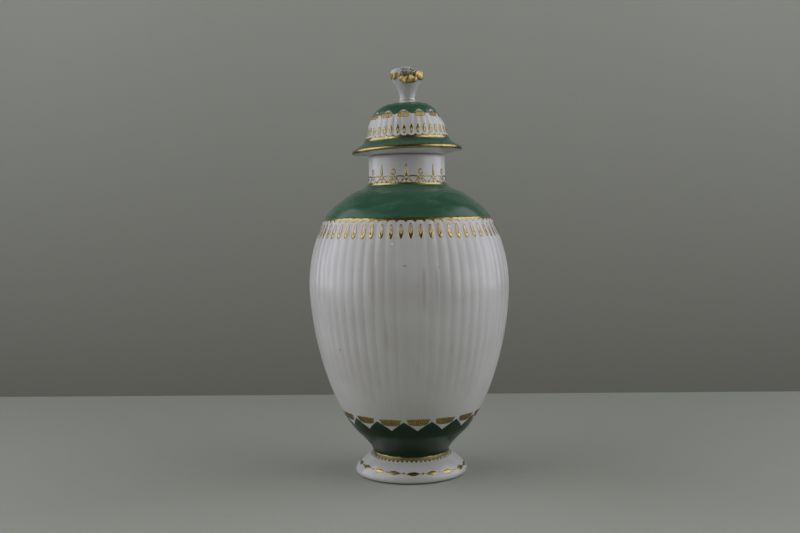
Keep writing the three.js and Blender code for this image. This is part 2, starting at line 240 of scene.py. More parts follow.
def node(tree, kind, inputs=(), **settings):
    """Adds a shader node with its settings. Its inputs, by name or in their order, are set or linked.
    Another node stands for its first output in use, and a colour gets an alpha of 1."""
    made = tree.nodes.new("ShaderNode" + kind)
    for key, value in settings.items():
        setattr(made, key, value)
    named = isinstance(inputs, dict)
    sockets = made.inputs if named else [socket for socket in made.inputs if socket.enabled]
    for key, value in inputs.items() if named else enumerate(inputs):
        if isinstance(value, bpy.types.Node):
            value = next(output for output in value.outputs if output.enabled)
        if isinstance(value, bpy.types.NodeSocket):
            tree.links.new(value, sockets[key])
        elif sockets[key].type == "RGBA":
            sockets[key].default_value = (*value, 1.0)
        else:
            sockets[key].default_value = value
    return made


def new_material(name):
    """An empty node material, its tree, and the position on the piece in metres."""
    made = bpy.data.materials.new(name)
    made.use_nodes = True
    tree = made.node_tree
    tree.nodes.clear()
    return made, tree, node(tree, "TexCoord").outputs["Object"]


def finish_material(made, tree, colour, roughness, relief, millimetres, **plain):
    """Ends a material in one Principled shader over a bump whose full relief is this high. Plain values
    are set on the shader's own sockets."""
    bump = node(tree, "Bump", {"Height": relief, "Strength": 1.0, "Distance": millimetres * MM})
    shader = node(tree, "BsdfPrincipled",
                  {"Base Color": colour, "Roughness": roughness, "Normal": bump, **plain})
    node(tree, "OutputMaterial", {"Surface": shader})
    return made


def reed_furrows(tree, where, colour, pooled, count, turn, low, high, thicker):
    """Lets glaze and dust gather in the furrows of so many reeds between two heights, with painted
    shade darkening the furrows too, and darkens the glaze this much more towards their lower end, as
    painted shade."""
    x, y, z = node(tree, "SeparateXYZ", [where]).outputs
    # Painted shade: the surface is drawn darker from high down towards low
    shade_below = node(tree, "MapRange", [z, high * MM, (low + 9) * MM, 0, thicker], **SOFT)
    colour = node(tree, "Mix", [shade_below, colour, pooled], **COLOUR)
    forward = node(tree, "Math", [y, -1.0], **TIMES)
    around = node(tree, "Math", [x, forward], operation="ARCTAN2")
    turned = node(tree, "Math", [around, math.radians(turn)], operation="SUBTRACT")
    steps = node(tree, "Math", [turned, count / (2 * math.pi)], **TIMES)
    aside = node(tree, "Math", [steps, 0.5], operation="PINGPONG")
    patches = node(tree, "TexNoise", {"Vector": where, "Scale": 1 / (9 * MM), "Detail": 3})
    # Painted shade in the furrows, together with the pooled glaze
    share = node(tree, "MapRange", [aside, 0.36, 0.5, 0, 0.3], **SOFT)
    for factor in (
            node(tree, "MapRange", [z, (low - 2) * MM, (low + 3) * MM], **SOFT),
            node(tree, "MapRange", [z, (high + 0.5) * MM, (high - 1) * MM], **SOFT),
            node(tree, "MapRange", [patches, 0.3, 0.75, 0.1, 1], **SOFT)):
        share = node(tree, "Math", [share, factor], **TIMES)
    return node(tree, "Mix", [share, colour, pooled], **COLOUR)


def specks(tree, where, colour, apart, rarity, edge, core, cover, tint):
    """Scatters round specks over a colour, in cells this far apart: the higher the rarity, the fewer
    cells have one. edge and core are the radii in mm where a speck ends and where it is fullest."""
    cells = node(tree, "TexVoronoi", {"Vector": where, "Scale": 1 / (apart * MM)}).outputs
    chosen = node(tree, "MapRange", [cells["Color"], rarity, rarity + 0.04])
    dot = node(tree, "MapRange", [cells["Distance"], edge / apart, core / apart, 0, cover], **SOFT)
    share = node(tree, "Math", [dot, chosen], **TIMES)
    return node(tree, "Mix", [share, colour, linear(tint)], **COLOUR)


def porcelain(colours, name, body, furrows=None, marks=()):
    """White porcelain under a clear fired glaze: a glassy, slightly rippled surface with a few dark
    iron specks. furrows says what reed_furrows is told of the reeding. marks are single stains, a painted
    glint and painted reflection streaks: where they are in mm, their radius, their stretch upwards and
    their colour."""
    made, tree, where = new_material(name)
    cloud = node(tree, "TexNoise", {"Vector": where, "Scale": 1 / (18 * MM), "Detail": 3})
    veil = node(tree, "MapRange", [cloud, 0.35, 0.7, 0, 0.3], **SOFT)
    colour = node(tree, "Mix", [veil, body, colours.pooled_glaze_and_shade], **COLOUR)
    if furrows:
        colour = reed_furrows(tree, where, colour, colours.pooled_glaze_and_shade, *furrows)
    # Stains and specks, and also the painted glint and painted reflection streaks
    for spot, radius, stretch, tint in marks:
        offset = node(tree, "VectorMath", [where, [c * MM for c in spot]], operation="SUBTRACT")
        offset = node(tree, "VectorMath", [offset, (1, 1, 1 / stretch)], **TIMES)
        away = node(tree, "VectorMath", [offset], operation="LENGTH")
        share = node(tree, "MapRange", [away, radius * MM, radius * 0.3 * MM, 0, 0.7], **SOFT)
        colour = node(tree, "Mix", [share, colour, linear(tint)], **COLOUR)
    # Iron specks 0.2 mm across
    colour = specks(tree, where, colour, 7, 0.62, 0.154, 0.084, 0.5, "#5B4A3A")
    gloss = node(tree, "TexNoise", {"Vector": where, "Scale": 1 / (6 * MM), "Detail": 3})
    rough = node(tree, "MapRange", [gloss, 0.3, 0.7, 0.16, 0.26], **SOFT)
    ripple = node(tree, "TexNoise", {"Vector": where, "Scale": 1 / (2.6 * MM)})
    return finish_material(made, tree, colour, rough, ripple, 0.02, IOR=1.52)


def green_enamel(colours):
    """Green overglaze enamel, brushed on by hand and fired: glassy, with soft bands where the brush
    left it thicker or thinner, and tiny pinholes. Above the foot it is drawn darker, as painted shade."""
    made, tree, where = new_material("green_overglaze_enamel")
    flat = node(tree, "Mapping", {"Vector": where, "Scale": (1, 1, 3.5)})
    strokes = node(tree, "TexNoise", {
        "Vector": flat, "Scale": 1 / (9 * MM), "Detail": 4, "Distortion": 0.6})
    thin = node(tree, "MapRange", [strokes, 0.35, 0.75], **SOFT)
    colour = node(tree, "Mix", [thin, colours.green, colours.thin_green], **COLOUR)
    fine = node(tree, "TexNoise", {"Vector": flat, "Scale": 1 / (1.6 * MM)})
    streak = node(tree, "MapRange", [fine, 0.45, 0.8, 0, 0.25], **SOFT)
    colour = node(tree, "Mix", [streak, colour, linear("#1E4531")], **COLOUR)
    height = node(tree, "SeparateXYZ", [where]).outputs[2]
    # Painted shade: the green is drawn darker towards the foot, under the belly
    low = node(tree, "MapRange", [height, 32 * MM, 22 * MM], **SOFT)
    colour = node(tree, "Mix", [low, colour, linear("#0A2A12")], **COLOUR)
    # Pinholes 0.3 mm across
    colour = specks(tree, where, colour, 6, 0.66, 0.21, 0.12, 0.6, "#8FA89A")
    rough = node(tree, "MapRange", [strokes, 0.3, 0.7, 0.18, 0.28], **SOFT)
    ripple = node(tree, "TexNoise", {"Vector": where, "Scale": 1 / (2.2 * MM)})
    return finish_material(made, tree, colour, rough, ripple, 0.02,
                           IOR=1.45, **{"Specular IOR Level": 0.32})


def gilding(colours, bright, name="burnished_honey_gilding", wear=0.5, roughness=0.14, uneven=0.0):
    """Honey gilding, fired on and burnished with agate: soft metal gloss with brush marks, bright where
    it is whole and rubbed to a brown film where hands have worn it. uneven is the height in mm of the
    marks of modelling under it."""
    made, tree, where = new_material(name)
    streaks = node(tree, "TexNoise", {"Vector": where, "Scale": 1 / (0.9 * MM), "Detail": 3})
    thin = node(tree, "MapRange", [streaks, 0.35, 0.75, 0, 0.45], **SOFT)
    colour = node(tree, "Mix", [thin, bright, colours.rubbed_gold], **COLOUR)
    patches = node(tree, "TexNoise", {"Vector": where, "Scale": 1 / (3.2 * MM), "Detail": 4})
    worn = node(tree, "MapRange", [patches, 0.62 - 0.14 * wear, 0.8 - 0.1 * wear], **SOFT)
    brown = node(tree, "Math", [worn, 0.6 + 0.4 * wear], **TIMES)
    colour = node(tree, "Mix", [brown, colour, colours.rubbed_gold], **COLOUR)
    brushed = node(tree, "MapRange", [streaks, 0.3, 0.7, roughness, roughness + 0.12], **SOFT)
    rough = node(tree, "Math", [worn, 0.15, brushed], operation="MULTIPLY_ADD")
    modelled = node(tree, "TexNoise", {"Vector": where, "Scale": 1 / (1.5 * MM), "Detail": 3})
    under = node(tree, "Math", [modelled, uneven], **TIMES)
    relief = node(tree, "Math", [streaks, 0.008, under], operation="MULTIPLY_ADD")
    return finish_material(made, tree, colour, rough, relief, 1.0, Metallic=1.0)


def gold_wash(colours):
    """Thin wash of gold over the glaze: mostly white body seen through a pinkish metal film."""
    made, tree, where = new_material("thin_gold_wash")
    uneven = node(tree, "TexNoise", {"Vector": where, "Scale": 1 / (1.4 * MM), "Detail": 3})
    bare = node(tree, "MapRange", [uneven, 0.3, 0.75], **SOFT)
    colour = node(tree, "Mix", [bare, colours.gold_wash, colours.porcelain], **COLOUR)
    rough = node(tree, "MapRange", [uneven, 0.3, 0.7, 0.18, 0.3], **SOFT)
    return finish_material(made, tree, colour, rough, uneven, 0.01, Metallic=0.25, IOR=1.52)


def stippled_porcelain(colours, name, cover):
    """Porcelain stippled with grey-brown under the glaze, so that it looks grainy like pollen."""
    made, tree, where = new_material(name)
    dots = node(tree, "TexVoronoi", {"Vector": where, "Scale": 1 / (0.55 * MM)})
    patch = node(tree, "MapRange", [dots.outputs["Distance"], 0.55, 0.2], **SOFT)
    clouds = node(tree, "TexNoise", {"Vector": where, "Scale": 1 / (1.2 * MM), "Detail": 3})
    uneven = node(tree, "MapRange", [clouds, 0.75 - cover, 0.95 - 0.6 * cover], **SOFT)
    share = node(tree, "Math", [patch, uneven], **TIMES)
    colour = node(tree, "Mix", [share, colours.porcelain, colours.stamens], **COLOUR)
    rough = node(tree, "MapRange", [uneven, 0, 1, 0.2, 0.4], **SOFT)
    return finish_material(made, tree, colour, rough, patch, 0.08, IOR=1.52)


def materials():
    """The makers of the scene's materials by short name."""
    colours = bpy.context.scene.canister_colours
    sizes = bpy.context.scene.canister_sizes
    skin = body_skin()
    # Stains and specks, with a painted glint and painted reflection streaks
    marks = [(skin(angle, skin.along(z)), *look) for angle, z, *look in GLAZE_SPECKS_AND_SHEENS]
    return {
        # The reeded body gets painted shade in its furrows and towards its foot
        "body": lambda: porcelain(
            colours, "glazed_porcelain_reeded_body", colours.porcelain,
            (sizes.body_reeds, BODY_TURN, BODY_FADE + 1, BODY_TIP, 0.35), marks),
        "cover": lambda: porcelain(
            colours, "glazed_porcelain_reeded_cover", colours.porcelain,
            (sizes.cover_reeds, COVER_TURN, RIM_Z + COVER_TIP, RIM_Z + COVER_FADE, 0.0)),
        "plain": lambda: porcelain(colours, "glazed_porcelain", colours.greyer_glaze),
        "green": lambda: green_enamel(colours),
        "gold": lambda: gilding(colours, colours.gold),
        "matt_gold": lambda: gilding(
            colours, colours.gold, "unburnished_honey_gilding", wear=2.4, roughness=0.3),
        "hand_gilt": lambda: gilding(
            colours, colours.petal_gold, "lightly_burnished_honey_gilding", wear=0.8, roughness=0.32,
            uneven=0.06),
        "wash": lambda: gold_wash(colours),
        "heart": lambda: stippled_porcelain(colours, "stippled_porcelain_stamens", 0.5),
        "petal": lambda: stippled_porcelain(colours, "lightly_stippled_porcelain", 0.3),
    }


def material(key):
    """The material of this short name. It is made the first time it is asked for."""
    tag = "canister_" + key
    for made in bpy.data.materials:
        if made.get("canister_key") == tag:
            return made
    made = materials()[key]()
    made["canister_key"] = tag
    return made


# Outlines and surfaces

def bezier(p0, p1, p2, p3, steps):
    """Points of a cubic arc, both ends included."""
    t = np.linspace(0, 1, steps + 1)[:, None]
    p0, p1, p2, p3 = (np.array(p, float) for p in (p0, p1, p2, p3))
    return (1 - t) ** 3 * p0 + 3 * (1 - t) ** 2 * t * p1 + 3 * (1 - t) * t ** 2 * p2 + t ** 3 * p3


def chain(*parts):
    """One line of points from several, without the points where they meet twice."""
    line = np.concatenate([np.atleast_2d(np.array(p, float)) for p in parts])
    keep = np.r_[True, np.hypot(*(line[1:] - line[:-1]).T) > 1e-4]
    return line[keep]


def round_corner(start, corner, end, steps=6):
    """Quarter round between two points, drawn towards their corner."""
    start, corner, end = (np.array(p, float) for p in (start, corner, end))
    kappa = 0.5523
    return bezier(start, start + kappa * (corner - start), end + kappa * (corner - end), end, steps)


def sunk(points, settled=1.0):
    """Lets points of the cover sink as it did in the firing: lower at its left, and the brim higher in
    front and behind than at its sides."""
    x, y, z = np.moveaxis(np.asarray(points, float), -1, 0)
    square = np.maximum(x * x + y * y, 1e-9)
    r = np.sqrt(square)
    outward = np.clip((r - SKIRT[0]) / (BRIM_R - SKIRT[0]), 0, 1)
    rise = LEAN_LEFT * x + BRIM_WARP * outward * (y * y - x * x) / square
    dent = DOME_DENT * np.maximum(x, 0) ** 2 / r * smooth(z - RIM_Z, 10, 16) * smooth(r, 5, 9)
    return np.stack([x + settled * (COVER_ASIDE - dent), y, z + settled * rise], -1)


def bowed(points):
    """Bends the body a little to the right between its foot and its shoulder."""
    x, y, z = np.moveaxis(np.asarray(points, float), -1, 0)
    up = np.clip((z - WAIST_Z) / (SHOULDER_LINE[2] - WAIST_Z), 0, 1)
    return np.stack([x + BODY_BOW * np.sin(math.pi * up ** 0.7), y, z], -1)


def smooth(value, low, high):
    """Smooth step from 0 to 1."""
    t = np.clip((value - low) / (high - low), 0, 1)
    return t * t * (3 - 2 * t)


class Reeds:
    """Low ribs side by side: they grow out of the plain skin from fade to full and end round at tip."""

    def __init__(self, count, turn, relief, fade, full, tip, end_length):
        self.count, self.turn, self.relief = count, turn, relief
        self.fade, self.full, self.tip, self.end_length = fade, full, tip, end_length
        self.way = math.copysign(1, tip - full)

    def aside(self, a):
        """How far an angle is from a crest: 0 there, and 1 or -1 in the furrows."""
        return 2 * ((((a - self.turn) * self.count / 360) + 0.5) % 1 - 0.5)

    def height(self, a, z, r):
        """Height of the skin above its plain outline, mm."""
        u = self.aside(a)
        grown = smooth(z, self.fade, self.full)
        end = np.clip(1 - (self.tip - z) * self.way / self.end_length, 0, 1)
        section = 0.65 * (1 - u * u) + 0.175 * (1 + np.cos(math.pi * u))
        rib = np.maximum(0, section - end * end)
        return self.relief * r * grown * (rib - 0.9 * (1 - end))


class Skin:
    """Turned outline, with or without reeds. A place on it is an angle and the way along the outline."""

    def __init__(self, outline, reeds=None, settle=None):
        self.r, self.z = np.array(outline, float).T
        self.way = np.r_[0, np.cumsum(np.hypot(np.diff(self.r), np.diff(self.z)))]
        self.reeds, self.settle = reeds, settle

    def along(self, z):
        """Way along the outline to a height."""
        return np.interp(z, self.z, self.way)

    def radius(self, s):
        return np.interp(s, self.way, self.r)

    def __call__(self, a, s, proud=0.0):
        """Points in mm at angles a and ways s, this far above the skin."""
        a, s = np.broadcast_arrays(np.asarray(a, float), np.asarray(s, float))
        step = 0.05
        near, far = np.clip(s - step, 0, self.way[-1]), np.clip(s + step, 0, self.way[-1])
        dr = np.interp(far, self.way, self.r) - np.interp(near, self.way, self.r)
        dz = np.interp(far, self.way, self.z) - np.interp(near, self.way, self.z)
        length = np.maximum(np.hypot(dr, dz), 1e-9)
        r, z = self.radius(s), np.interp(s, self.way, self.z)
        lift = proud + (self.reeds.height(a, z, r) if self.reeds else 0)
        r, z = r + lift * dz / length, z - lift * dr / length
        t = np.radians(a)
        points = np.stack([r * np.sin(t), -r * np.cos(t), z], -1)
        return self.settle(points) if self.settle else points

    def near(self, anchor, points):
        """Angles and ways of points given in mm to the right of and above the anchor."""
        points = np.asarray(points, float)
        s = anchor[1] + points[:, 1]
        return np.stack([anchor[0] + np.degrees(points[:, 0] / self.radius(anchor[1])), s], -1)


def body_outline():
    stem = bezier((WAIST_R, WAIST_Z), (WAIST_R, 11.9), (22.2, 17.35), FLARE, 24)
    bowl = bezier(FLARE, (40.1, 41), (BELLY_R, 74), (BELLY_R, BELLY_Z), 60)
    shoulder = bezier((BELLY_R, BELLY_Z), (BELLY_R, 88.7), (36.8, 109.75), SHOULDER, 72)
    fillet = bezier(SHOULDER, (18.7, 116), (NECK_R, 116.8), (NECK_R, NECK_Z), 20)
    outline = chain([(WAIST_R + 0.15, FOOT_TOP), (WAIST_R, WAIST_Z)], stem, bowl, shoulder, fillet,
                    [(NECK_R - 0.1, 124), (RIM_R, RIM_Z - OUTER_LIP[1])])
    z = outline[:, 1]
    outline[:, 0] -= HOLLOWING * smooth(z, 27, 42) * smooth(z, BODY_TIP, BODY_TIP - 2.5)
    outline[:, 0] -= SHOULDER_FLAT * np.exp(-((z - 111.8) / 2.4) ** 2)
    return outline


def body_skin():
    sizes = bpy.context.scene.canister_sizes
    outline = body_outline()
    tip_r = np.interp(BODY_TIP, outline[:, 1], outline[:, 0])
    reeds = Reeds(sizes.body_reeds, BODY_TURN, sizes.body_relief / MM / BELLY_R, BODY_FADE,
                  BODY_FULL, BODY_TIP, math.pi * tip_r / sizes.body_reeds)
    return Skin(outline, reeds, bowed)


def foot_outline():
    edge = chain([(STANDING_R - 0.7, 0)], bezier((STANDING_R - 0.6, 0.3), (22.4, 0.3), (FOOT_R, 0.6),
                                                  (FOOT_R, FOOT_EDGE_Z + 0.2), 6))
    top = bezier((FOOT_R, FOOT_EDGE_Z + 0.2), (FOOT_R, 3.8), (19.4, 5.8), (FOOT_TOP_R, FOOT_TOP), 24)
    return chain(edge, top)


def cover_outline():
    edge = bezier((BRIM_R - 0.4, BRIM_UNDER), (BRIM_R, 1.75), (BRIM_R + 0.1, 2.25),
                  (BRIM_R - 0.1, BRIM_TOP), 8)
    brim = bezier((BRIM_R - 0.1, BRIM_TOP), (20, 3.9), (17.65, 4.9), SKIRT, 16)
    bell = bezier(SKIRT, (17.05, 6.9), (16.35, 8), DOME_SIDE, 12)
    dome = bezier(DOME_SIDE, (15.4, 15.6), (12.0, 21.0), DOME_TOP, 60)
    pad = [(4.3, 20.98), (4.0, 21.15), (KNOB_PAD_R, KNOB_SEAT - RIM_Z)]
    return chain(edge, brim, bell, dome, pad) + np.array([0, RIM_Z])


def cover_way(skin, height):
    """Way along the cover's outline to a height above the mouth of the neck."""
    return skin.along(RIM_Z + height)


def cover_skin():
    sizes = bpy.context.scene.canister_sizes
    outline = cover_outline()
    tip_r = np.interp(RIM_Z + COVER_TIP, outline[:, 1], outline[:, 0])
    reeds = Reeds(sizes.cover_reeds, COVER_TURN, COVER_RELIEF, RIM_Z + COVER_FADE,
                  RIM_Z + COVER_FULL, RIM_Z + COVER_TIP, math.pi * tip_r / sizes.cover_reeds)
    return Skin(outline, reeds, sunk)


# Meshes

def add_piece(name, points, faces, keys, body, stands_for=(), slot=None, face_keys=None):
    """Makes an object of a mesh in mm, gives it its materials and lets it ride on a body."""
    mesh = bpy.data.meshes.new(name)
    mesh.from_pydata((np.asarray(points, float) * MM).tolist(), [], faces)
    tidy = bmesh.new()
    tidy.from_mesh(mesh)
    bmesh.ops.recalc_face_normals(tidy, faces=tidy.faces)
    tidy.to_mesh(mesh)
    tidy.free()
    for key in keys:
        mesh.materials.append(material(key))
    if face_keys is not None:
        mesh.polygons.foreach_set("material_index", face_keys)
    mesh.polygons.foreach_set("use_smooth", [True] * len(mesh.polygons))
    if mesh.validate():
        raise RuntimeError(f"the mesh of {name} has bad faces")
    piece = bpy.data.objects.new(name, mesh)
    bpy.context.scene.collection.objects.link(piece)
    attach(piece, body)
    if stands_for:
        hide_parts(*stands_for)
    return piece


def skin_over(rings):
    """Points and faces of a closed skin over rings of points, from one pole to the other. Rings may
    differ in their number of points."""
    faces, start = [], 0
    for low_ring, high_ring in zip(rings, rings[1:]):
        n, m = len(low_ring), len(high_ring)
        if n == m and n > 1:
            faces += [(start + i, start + (i + 1) % n, start + n + (i + 1) % n, start + n + i)
                      for i in range(n)]
        else:
            low_turns, high_turns = (0 if n == 1 else n), (0 if m == 1 else m)
            i = j = 0
            while i < low_turns or j < high_turns:
                low, high = start + i % n, start + n + j % m
                low_lags = i < low_turns and (i + 0.5) * high_turns <= (j + 0.5) * low_turns
                if j >= high_turns or low_lags:
                    faces.append((low, start + (i + 1) % n, high))
                    i += 1
                else:
                    faces.append((low, start + n + (j + 1) % m, high))
                    j += 1
        start += n
    return np.concatenate(rings), faces


def joined(shapes):
    """Points and faces of several shapes as one."""
    points, faces, start = [], [], 0
    for some, around in shapes:
        points.append(some)
        faces += [tuple(start + i for i in face) for face in around]
        start += len(some)
    return np.concatenate(points), faces


def ring(r, z, columns):
    """Plain ring of points."""
    t = np.linspace(0, 2 * math.pi, columns, endpoint=False)
    return np.stack([r * np.sin(t), -r * np.cos(t), np.full(columns, float(z))], -1)


def pole(z):
    return np.array([[0.0, 0.0, z]])


def angles(columns):
    return np.linspace(0, 360, columns, endpoint=False)


class Layer:
    """Slabs of enamel or gold on a skin, gathered into one mesh. Each slab is closed and reaches a
    little into the porcelain."""

    def __init__(self, skin, proud, sink=0.05):
        self.skin, self.proud, self.sink = skin, proud, sink
        self.points, self.faces, self.flat, self.count = [], [], [], 0

    def patch(self, left, right, across=1, closed=False):
        """Slab between two lines of (angle, way) with as many points each."""
        t = np.linspace(0, 1, across + 1)[None, :, None]
        grid = np.asarray(left, float)[:, None] * (1 - t) + np.asarray(right, float)[:, None] * t
        n, m = grid.shape[:2]
        a, s = grid[..., 0], grid[..., 1]
        top = self.skin(a, s, self.proud).reshape(-1, 3)
        low = self.skin(a, s, -self.sink).reshape(-1, 3)
        up = self.count + np.arange(n * m).reshape(n, m)
        under = up + n * m
        here = np.arange(n if closed else n - 1)
        there = (here + 1) % n
        quads = []
        for k in range(m - 1):
            quads.append(np.stack([up[here, k], up[there, k], up[there, k + 1], up[here, k + 1]], 1))
            quads.append(np.stack([under[here, k], under[here, k + 1], under[there, k + 1],
                                   under[there, k]], 1))
        smooth_faces = sum(len(q) for q in quads)
        quads.append(np.stack([up[here, 0], under[here, 0], under[there, 0], up[there, 0]], 1))
        quads.append(np.stack([up[here, -1], up[there, -1], under[there, -1], under[here, -1]], 1))
        if not closed:
            k = np.arange(m - 1)
            for i in (0, n - 1):
                quads.append(np.stack([up[i, k], up[i, k + 1], under[i, k + 1], under[i, k]], 1))
        self.points += [top, low]
        quads = np.concatenate(quads).tolist()
        self.faces += quads
        self.flat += [i >= smooth_faces for i in range(len(quads))]
        self.count += 2 * n * m

    def band(self, lower, upper, columns, across=2):
        """Slab all the way round, between two ways or functions that give the way at an angle."""
        a = angles(columns)
        sides = [np.stack([a, side(a) if callable(side) else np.full(columns, side)], 1)
                 for side in (lower, upper)]
        self.patch(*sides, across=across, closed=True)

    def stroke(self, anchor, path, widths, across=2, closed=False):
        """Brush stroke along a path in mm from the anchor, with its breadth at each point."""
        path = np.asarray(path, float)
        if closed:
            along = np.roll(path, -1, 0) - np.roll(path, 1, 0)
        else:
            along = np.gradient(path, axis=0)
        along /= np.maximum(np.hypot(*along.T), 1e-9)[:, None]
        half = np.broadcast_to(np.asarray(widths, float), len(path))[:, None] / 2
        side = np.stack([-along[:, 1], along[:, 0]], 1) * half
        self.patch(self.skin.near(anchor, path + side), self.skin.near(anchor, path - side),
                   across, closed)

    def blob(self, anchor, centre, half_width, half_height, steps=12, across=4):
        """Filled oval."""
        t = np.linspace(-0.97, 0.97, steps)
        w = half_width * np.sqrt(1 - t * t)
        left = np.stack([centre[0] - w, centre[1] + half_height * t], 1)
        right = np.stack([centre[0] + w, centre[1] + half_height * t], 1)
        self.patch(self.skin.near(anchor, left), self.skin.near(anchor, right), across)

    def loop(self, anchor, outer, inner, across=2):
        """Closed ring between two closed lines in mm from the anchor."""
        self.patch(self.skin.near(anchor, outer), self.skin.near(anchor, inner), across, closed=True)

    def piece(self, name, key, body, slot=None, moved=None):
        points = np.concatenate(self.points)
        made = add_piece(name, moved(points) if moved else points, self.faces, [key], body, slot=slot)
        made.data.polygons.foreach_set("use_smooth", [not flat for flat in self.flat])
        return made


def gold_layer(skin):
    return Layer(skin, bpy.context.scene.canister_sizes.gold_thickness / MM)


def enamel_layer(skin):
    return Layer(skin, bpy.context.scene.canister_sizes.enamel_thickness / MM)


def anchors(count, turn, way, loose_turn, loose_way, rng):
    """Angles and ways of places evenly round, at about the same way, each a little off its own."""
    for k in range(count):
        angle = turn + 360 * k / count + rng.uniform(-loose_turn, loose_turn)
        yield angle, way + rng.uniform(-loose_way, loose_way)


def oval(half_width, low, high, steps=22, egg=0.0):
    """Closed oval line round the origin. A positive egg makes its lower half wider."""
    t = np.linspace(0, 2 * math.pi, steps, endpoint=False)
    y = np.cos(t)
    x = half_width * np.sin(t) * (1 - egg * y)
    return np.stack([x, (high + low) / 2 + (high - low) / 2 * y], 1)


def spaced_round(in_front, behind):
    """Angles that were measured in front, followed by this many evenly spaced ones behind."""
    gap = (360 - in_front[-1] + in_front[0]) / (behind + 1)
    return in_front + [in_front[-1] + gap * (k + 1) for k in range(behind)]


def shell(ribs, ground, anchor, count, lower, upper, half_widths, rng):
    """Gold shell of ribs side by side on a thin ground. lower(f) and upper(f) are its borders in mm,
    where f runs from -1 to 1 across it. Its half widths are those of the lower and the upper border."""
    low_half, high_half = half_widths
    f = np.linspace(-1, 1, 17)
    low = np.stack([low_half * f * 0.97, lower(f) + 0.1], 1)
    high = np.stack([high_half * f * 0.97, upper(f) - 0.2], 1)
    ground.patch(ground.skin.near(anchor, low), ground.skin.near(anchor, high), 4)
    # Each rib swells from its root and is drawn in again at its tip
    t = np.linspace(0, 1, 8)[:, None]
    narrow = low_half / high_half
    taper = np.interp(t[:, 0], [0, 0.15, 0.85, 1], [0.4 * narrow, 0.66 * narrow, 0.7, 0.3])
    for i in range(count):
        f = (2 * i + 1) / count - 1
        root = np.array([low_half * f, lower(f) + rng.uniform(-0.1, 0.1)])
        tip = np.array([high_half * f, upper(f) + rng.uniform(-0.2, 0.16)])
        ribs.stroke(anchor, root * (1 - t) + tip * t, taper * 2 * high_half / count)


# Operators

